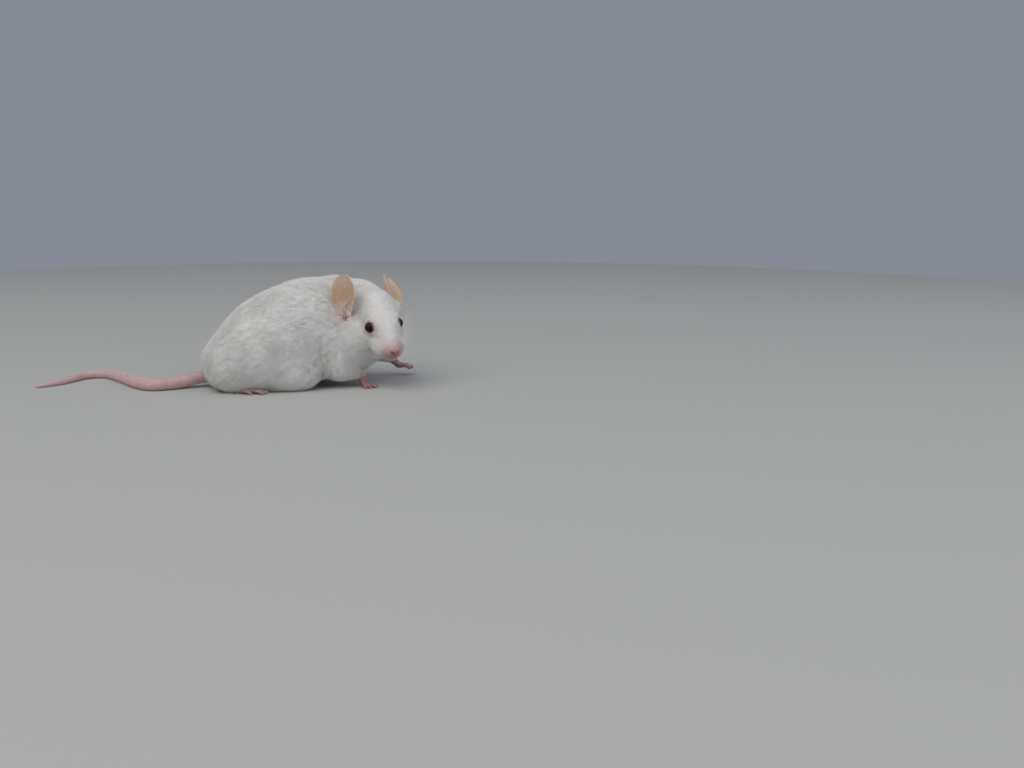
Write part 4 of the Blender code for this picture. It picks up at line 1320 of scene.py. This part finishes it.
# %% Hair finish
def hair_finish():
    """Root to tip from creamy pink to white. Each tuft's shade and a slow noise (6 mm) vary it slightly,
    painted shade in a crease takes it towards grey, and a flush towards pink. Rough, since a coat is many
    small mirrors."""
    made, tree = new_finish("clear_white_hair")
    place = add(tree, "TexCoord").outputs["Object"]
    tip = add(tree, "Attribute", {"attribute_name": "tip"}).outputs["Fac"]
    shade = add(tree, "Attribute", {"attribute_name": "shade"}).outputs["Fac"]
    along = add(tree, "ValToRGB", {"stops": [(0.0, linear("e6d6cf")), (0.5, linear("fbfaf7"))]},
                {"Fac": tip}).outputs["Color"]
    slow = add(tree, "TexNoise", {"Scale": 160.0, "Detail": 2.0}, {"Vector": place}).outputs["Fac"]
    tone = add(tree, "Math", {"operation": "MULTIPLY_ADD", 1: 0.5}, {0: shade, 2: slow}).outputs[0]
    # Only the creases' painted shade reaches the lowest, greyest stop.
    tint = add(tree, "ValToRGB", {"stops": [
        (0.0, linear("c4c0ba")), (0.3, linear("f0ede7")), (1.0, linear("fefefe"))]},
               {"Fac": tone}).outputs["Color"]
    white = add(tree, "Mix", {"data_type": "RGBA", "blend_type": "MULTIPLY", 0: 0.9},
                {6: along, 7: tint}).outputs[2]
    flush = add(tree, "Attribute", {"attribute_name": "flush"}).outputs["Fac"]
    colour = add(tree, "Mix", {"data_type": "RGBA", 7: linear("dca8a6")}, {0: flush, 6: white}).outputs[2]
    shader = add(tree, "BsdfPrincipled", {
        "Roughness": 0.7, "Specular IOR Level": 0.3, "Sheen Weight": 0.2, "Sheen Roughness": 0.5},
        {"Base Color": colour})
    add(tree, "OutputMaterial", links={"Surface": shader.outputs["BSDF"]})
    return made


white_hair = hair_finish()
print("hair's tip in linear light:", [round(part, 2) for part in linear("fbfaf7")[:3]])

# %% [markdown]
# ### Lay the coat on
#
# The coat is divided by the share of the way from rump to nose into bands of equal count, since one mesh
# of more than a million triangles is slow to handle.

# %% Bands of the coat
place = np.column_stack(unwrapped(roots))
order = np.argsort(place[:, 0], kind="stable")
BANDS = ("rump", "haunches", "loins", "ribs", "shoulders", "neck", "crown", "face")
for name, chosen in zip(BANDS, np.array_split(order, len(BANDS))):
    mesh = tuft_mesh("coat_" + name, *grow(roots[chosen]), place[chosen], flushed(roots[chosen]))
    piece("coat_" + name, mesh, white_hair)
    print("coat_" + name, len(mesh.polygons), "triangles")

# %% [markdown]
# ## Down on the ears, tail and feet
#
# The bare parts aren't quite bare. Fine down covers both sides of the ears and grows long where they join
# the head, each ring of the tail has short hairs that point to its tip, and so have the backs of the feet.
# They could be left out, but they soften the edges of the bare skin, as in life. They are the same
# slivers, finer and farther apart.

# %% Bristles
BRISTLE_STRAY = 0.14
BRISTLE_ROOT, BRISTLE_CLEAR = 0.05, 0.02  # how deep its root is, and how low it may lie
BRISTLE_BOW = 0.3  # the share of its lift that is left from its middle on
# How wide a bristle is, and how much its lie is raised.
EAR_BRISTLE, TAIL_BRISTLE, FOOT_BRISTLE = (0.045, 0.25), (0.035, 0.22), (0.045, 0.2)


def bristles(roots, out, lie, length, width, lift):
    """Slivers that leave the skin at a low angle: the lie laid flat on it and raised by a share of the way
    out, less from the middle on. Returns what tuft_mesh takes."""
    lie = flat(lie, out) + RANDOM.normal(0, BRISTLE_STRAY, np.shape(out))
    half = (0.5 * length * RANDOM.uniform(0.7, 1.3, len(roots)))[:, None]
    middle = roots + half * (lie + lift * out)
    tip = middle + half * (lie + BRISTLE_BOW * lift * out)
    line = np.stack([roots - BRISTLE_ROOT * out, middle, tip], axis=1)
    line[:, :, 2] = np.maximum(line[:, :, 2], BRISTLE_CLEAR)
    return line, np.stack([out, out], axis=1), np.full(len(roots), width), RANDOM.random(len(roots))


def down(name, parts):
    """A piece of down from several sets of bristles, each a row of arrays that tuft_mesh takes."""
    mesh = tuft_mesh("down_" + name, *[np.concatenate(arrays) for arrays in zip(*parts)])
    piece("down_" + name, mesh, white_hair)
    print("down on the", name + ":", len(mesh.polygons), "triangles")


print("a bristle strays by about", round(math.degrees(BRISTLE_STRAY)), "degrees")

# %% [markdown]
# ### Down on the ears
#
# It is densest and longest low down, where the ear joins the head, and all of it points to the ear's tip.

# %% Ears' down
EAR_LOW = 0.45  # the share of an ear's height over which its down grows shorter and sparser
EAR_DOWN, EAR_DOWN_LOW = (7.0, 0.6), (14.0, 1.8)  # density and length, and how much more low down


def lowness(height):
    """1 at the ear's root and 0 from a share of its height up."""
    return np.clip(1 - height / EAR_LOW, 0, 1)


parts = []
for tile, ear in enumerate(EARS.values()):
    points, faces, height, _ = ear_skin(ear)
    low = lowness(height[faces].mean(1))
    roots, out = scattered(points, faces, np.where(low > 0.9, 0.0, EAR_DOWN[0] + EAR_DOWN_LOW[0] * low))
    across, up = ((in_head(roots) - ear["root"]) @ ear_axes(ear).T)[:, 1:].T
    length = EAR_DOWN[1] + EAR_DOWN_LOW[1] * lowness(up / EAR_LENGTH)
    hollow, _, tipward = ear_axes(ear) @ HEAD_TURN.T
    tipward = np.broadcast_to(tipward, roots.shape)
    face_side = (out @ hollow > 0).astype(float)
    parts.append((*bristles(roots, out, tipward, length, *EAR_BRISTLE),
                  np.column_stack([across / 12 + 2 * tile + face_side, up / EAR_LENGTH])))
down("ears", parts)

# %% [markdown]
# ### Down on the tail and the feet
#
# The tail's bristles are long only where it leaves the rump. On the feet there is down on the backs alone.

# %% Tail's and feet's down
TAIL_DENSITY, TAIL_LENGTH, TAIL_LENGTH_MORE = 4.0, 0.95, 1.6
TAIL_STEPS, TAIL_LONG_TO = 200, 9.0  # steps along its line, and how many of them the long bristles cover
FOOT_DENSITY, FOOT_LENGTH = 7.0, 0.65
TILE = 8.0  # each foot has a place of its own on the map
roots, out = scattered(tail_points, tail_faces, TAIL_DENSITY)
middle_line = tail_line(TAIL_STEPS)[0]
near = np.argmin(((roots[:, None] - middle_line) ** 2).sum(2), axis=1)
ways, sides, ups = (axis[near] for axis in frames_along(middle_line))
round_turn = np.arctan2((out * sides).sum(1), (out * ups).sum(1))
length = TAIL_LENGTH + TAIL_LENGTH_MORE * bell(near, TAIL_LONG_TO)
hairs = bristles(roots, out, ways, length, *TAIL_BRISTLE)
down("tail", [(*hairs, np.column_stack([near, round_turn]))])

parts = []
for tile, name in enumerate(FEET):
    at, turn = foot_axes(name)
    roots, out = scattered(*feet[name], FOOT_DENSITY)
    local = (roots - at) @ turn
    above = (out[:, 2] > 0.15) & (roots[:, 2] > 0.5)
    roots, out, local = roots[above], out[above], local[above]
    way = np.broadcast_to(turn[:, 0], roots.shape)
    parts.append((*bristles(roots, out, way, np.full(len(roots), FOOT_LENGTH), *FOOT_BRISTLE),
                  local[:, :2] + (0.0, TILE * tile)))
down("feet", parts)

# %% [markdown]
# ## Whiskers
#
# A whisker is one stout hair, a tenth of a millimetre thick at its root, in rows on a dark-spotted pad at
# each side of the snout, with two more over each eye. It could be a curve with a bevel; here it is a cone
# lofted round a line that bends back and droops. The hind ones are longest.

# %% Whiskers
WHISKER_RINGS, WHISKER_ROUND = 14, 5
WHISKER_RADII = (0.046, 0.009)  # at the root and at the tip
BEND = HEAD_TURN @ np.array([-0.22, 0.0, 0.0]) - (0, 0, 0.12)  # backwards and down, for each mm of length


def whisker(root, way, length):
    """A cone round a parabola: it starts along way, then bends backwards and down by the square of the
    share of its length. Its radius falls at an even rate."""
    share = np.linspace(0, 1, WHISKER_RINGS)[:, None]
    line = root + length * (share * way / np.linalg.norm(way) + share**2 * BEND)
    line[:, 2] = np.maximum(line[:, 2], 0.1)
    return lofted(tube(line, np.interp(share[:, 0], (0, 1), WHISKER_RADII), WHISKER_ROUND))


stations = []  # place and way in the head's axes, length: four rows of five, then two over the eye
for row in range(4):
    for column in range(5):
        stations.append(((8.5 - 1.0 * column - 0.2 * row, 2.3 + 0.28 * column, 0.35 - 0.85 * row),
                         (-0.5 - 0.16 * column, 0.75, 0.28 - 0.2 * row), 6.5 + 3.1 * column))
stations += [((1.4, 3.6, 6.2), (-0.6, 0.5, 0.8), 8.0), ((0.4, 3.9, 6.3), (-0.8, 0.5, 0.7), 9.0)]
stations = [(np.array(place) * (1, side, 1), np.array(way) * (1, side, 1), length)
            for side in (1, -1) for place, way, length in stations]
whisker_roots = [settle(head(place)[None], 0.1)[0] for place, _, _ in stations]
whiskers = [plain(*whisker(root, HEAD_TURN @ way, length))
            for root, (_, way, length) in zip(whisker_roots, stations)]
points, faces, _ = join_shells(whiskers)
print(len(whiskers), "whiskers up to", max(length for _, _, length in stations), "mm long")

# %% [markdown]
# ### The whiskers' map and their beds
#
# On the flat map each whisker is a small patch of its own. On the pad each grows from a bed, a low pink
# bump that is dark with blood. The two over each eye have none to see.

# %% Map and beds
BED_RADIUS, BED_HEIGHT, BED_LEVEL = 0.13, 0.17, 0.6
BROW = 3.0  # whiskers that start higher than this in the head's axes are the ones over the eyes
spots = np.array([(place[0], place[2] + 12 * np.sign(place[1])) for place, _, _ in stations])
spots = (spots - spots.min(0)) / np.ptp(spots, axis=0) * (1 - 2 * PATCH)
share = np.append(np.repeat(np.linspace(0, 1, WHISKER_RINGS), WHISKER_ROUND), [0, 1])
turn = np.append(np.tile(np.linspace(0, 1, WHISKER_ROUND), WHISKER_RINGS), [0.5, 0.5])
steps = np.tile(np.column_stack([share, turn]), (len(whiskers), 1)) * PATCH
uv = (np.repeat(spots, len(share), axis=0) + steps)[faces.ravel()]
mesh = mesh_from("whiskers", points, faces, uv, tip=0.4 + 0.6 * np.tile(share, len(whiskers)),
                 shade=np.ones(len(points)))
piece("whiskers", mesh, white_hair)

beds = []
for root, (place, _, _) in zip(whisker_roots, stations):
    if place[2] > BROW:
        continue
    angle = np.linspace(0.05, np.pi - 0.05, 7)
    out = unit(root - head((place[0] - 2.0, 0.0, -1.0)))
    line = settle(root[None], BED_LEVEL)[0] - out * BED_HEIGHT * np.cos(angle)[:, None]
    beds.append(plain(*lofted(tube(line, BED_RADIUS * np.sin(angle), 8)), bare=1.0, dark=0.6))
points, faces, marks = join_shells(beds)
piece("whisker_beds", mesh_from("whisker_beds", points, faces, **marks), skin_pink)
print(len(beds), "beds")

# %% [markdown]
# ## Floor, light and camera
#
# A museum shows a model on a pale plain ground, here matt paper, under broad soft light. One large lamp
# above and to the left stands for a window's daylight, a weak one low on the right for light the room's
# walls send back, and the pale sky fills the shadows. One lamp alone would leave a hard edge down the face.

# %% Floor and lamps
FLOOR_RADIUS, FLOOR_ROUND = 560.0, 128
turn = np.linspace(0, 2 * np.pi, FLOOR_ROUND, endpoint=False)
points = np.column_stack([np.cos(turn), np.sin(turn), 0 * turn]) * FLOOR_RADIUS
floor = bpy.data.objects.new("floor", mesh_from("floor", points, np.arange(FLOOR_ROUND)[None]))
bpy.context.scene.collection.objects.link(floor)
floor.data.materials.append(even_finish("matt_paper", Base_Color=linear("bebeba"), Roughness=0.9))


def lamp(name, place, size, watts, colour):
    """A square soft lamp that faces the mouse. Its place and its side are in metres."""
    light = bpy.data.lights.new(name, "AREA")
    light.size = size
    light.energy = watts
    light.color = linear(colour)[:3]
    made = bpy.data.objects.new(name, light)
    made.location = place
    made.rotation_euler = (-made.location).to_track_quat("-Z", "Y").to_euler()
    bpy.context.scene.collection.objects.link(made)


lamp("window", (-0.35, -0.35, 0.75), size=0.9, watts=4.5, colour="fffdf8")
lamp("room", (0.5, -0.4, 0.35), size=0.8, watts=1.3, colour="fbf9ff")
world = bpy.data.worlds.new("pale_sky")
bpy.context.scene.world = world
world.use_nodes = True
world.node_tree.nodes["Background"].inputs["Color"].default_value = linear("858a94")
world.node_tree.nodes["Background"].inputs["Strength"].default_value = 1.0
bpy.context.scene.view_settings.view_transform = "Standard"
print("lamps:", [light.name for light in bpy.data.lights])

# %% [markdown]
# ### The camera
#
# It stands a third of a metre from the mouse's middle, a little above it, and looks down at a low angle, as
# someone does who leans on the table. The lens is long enough not to stretch the nearer parts.

# %% Camera
camera = bpy.data.cameras.new("camera")
camera.lens = 34.45
camera.sensor_width = 36.0
camera.clip_start = 0.01
viewer = bpy.data.objects.new("camera", camera)
viewer.location = (0.007661, -0.329188, 0.064)
viewer.rotation_euler = (math.radians(90 - 11.3), 0.0, math.radians(-12))
bpy.context.scene.collection.objects.link(viewer)
bpy.context.scene.camera = viewer
print("camera, m:", [round(x, 3) for x in viewer.location], "lens, mm:", round(camera.lens, 1))
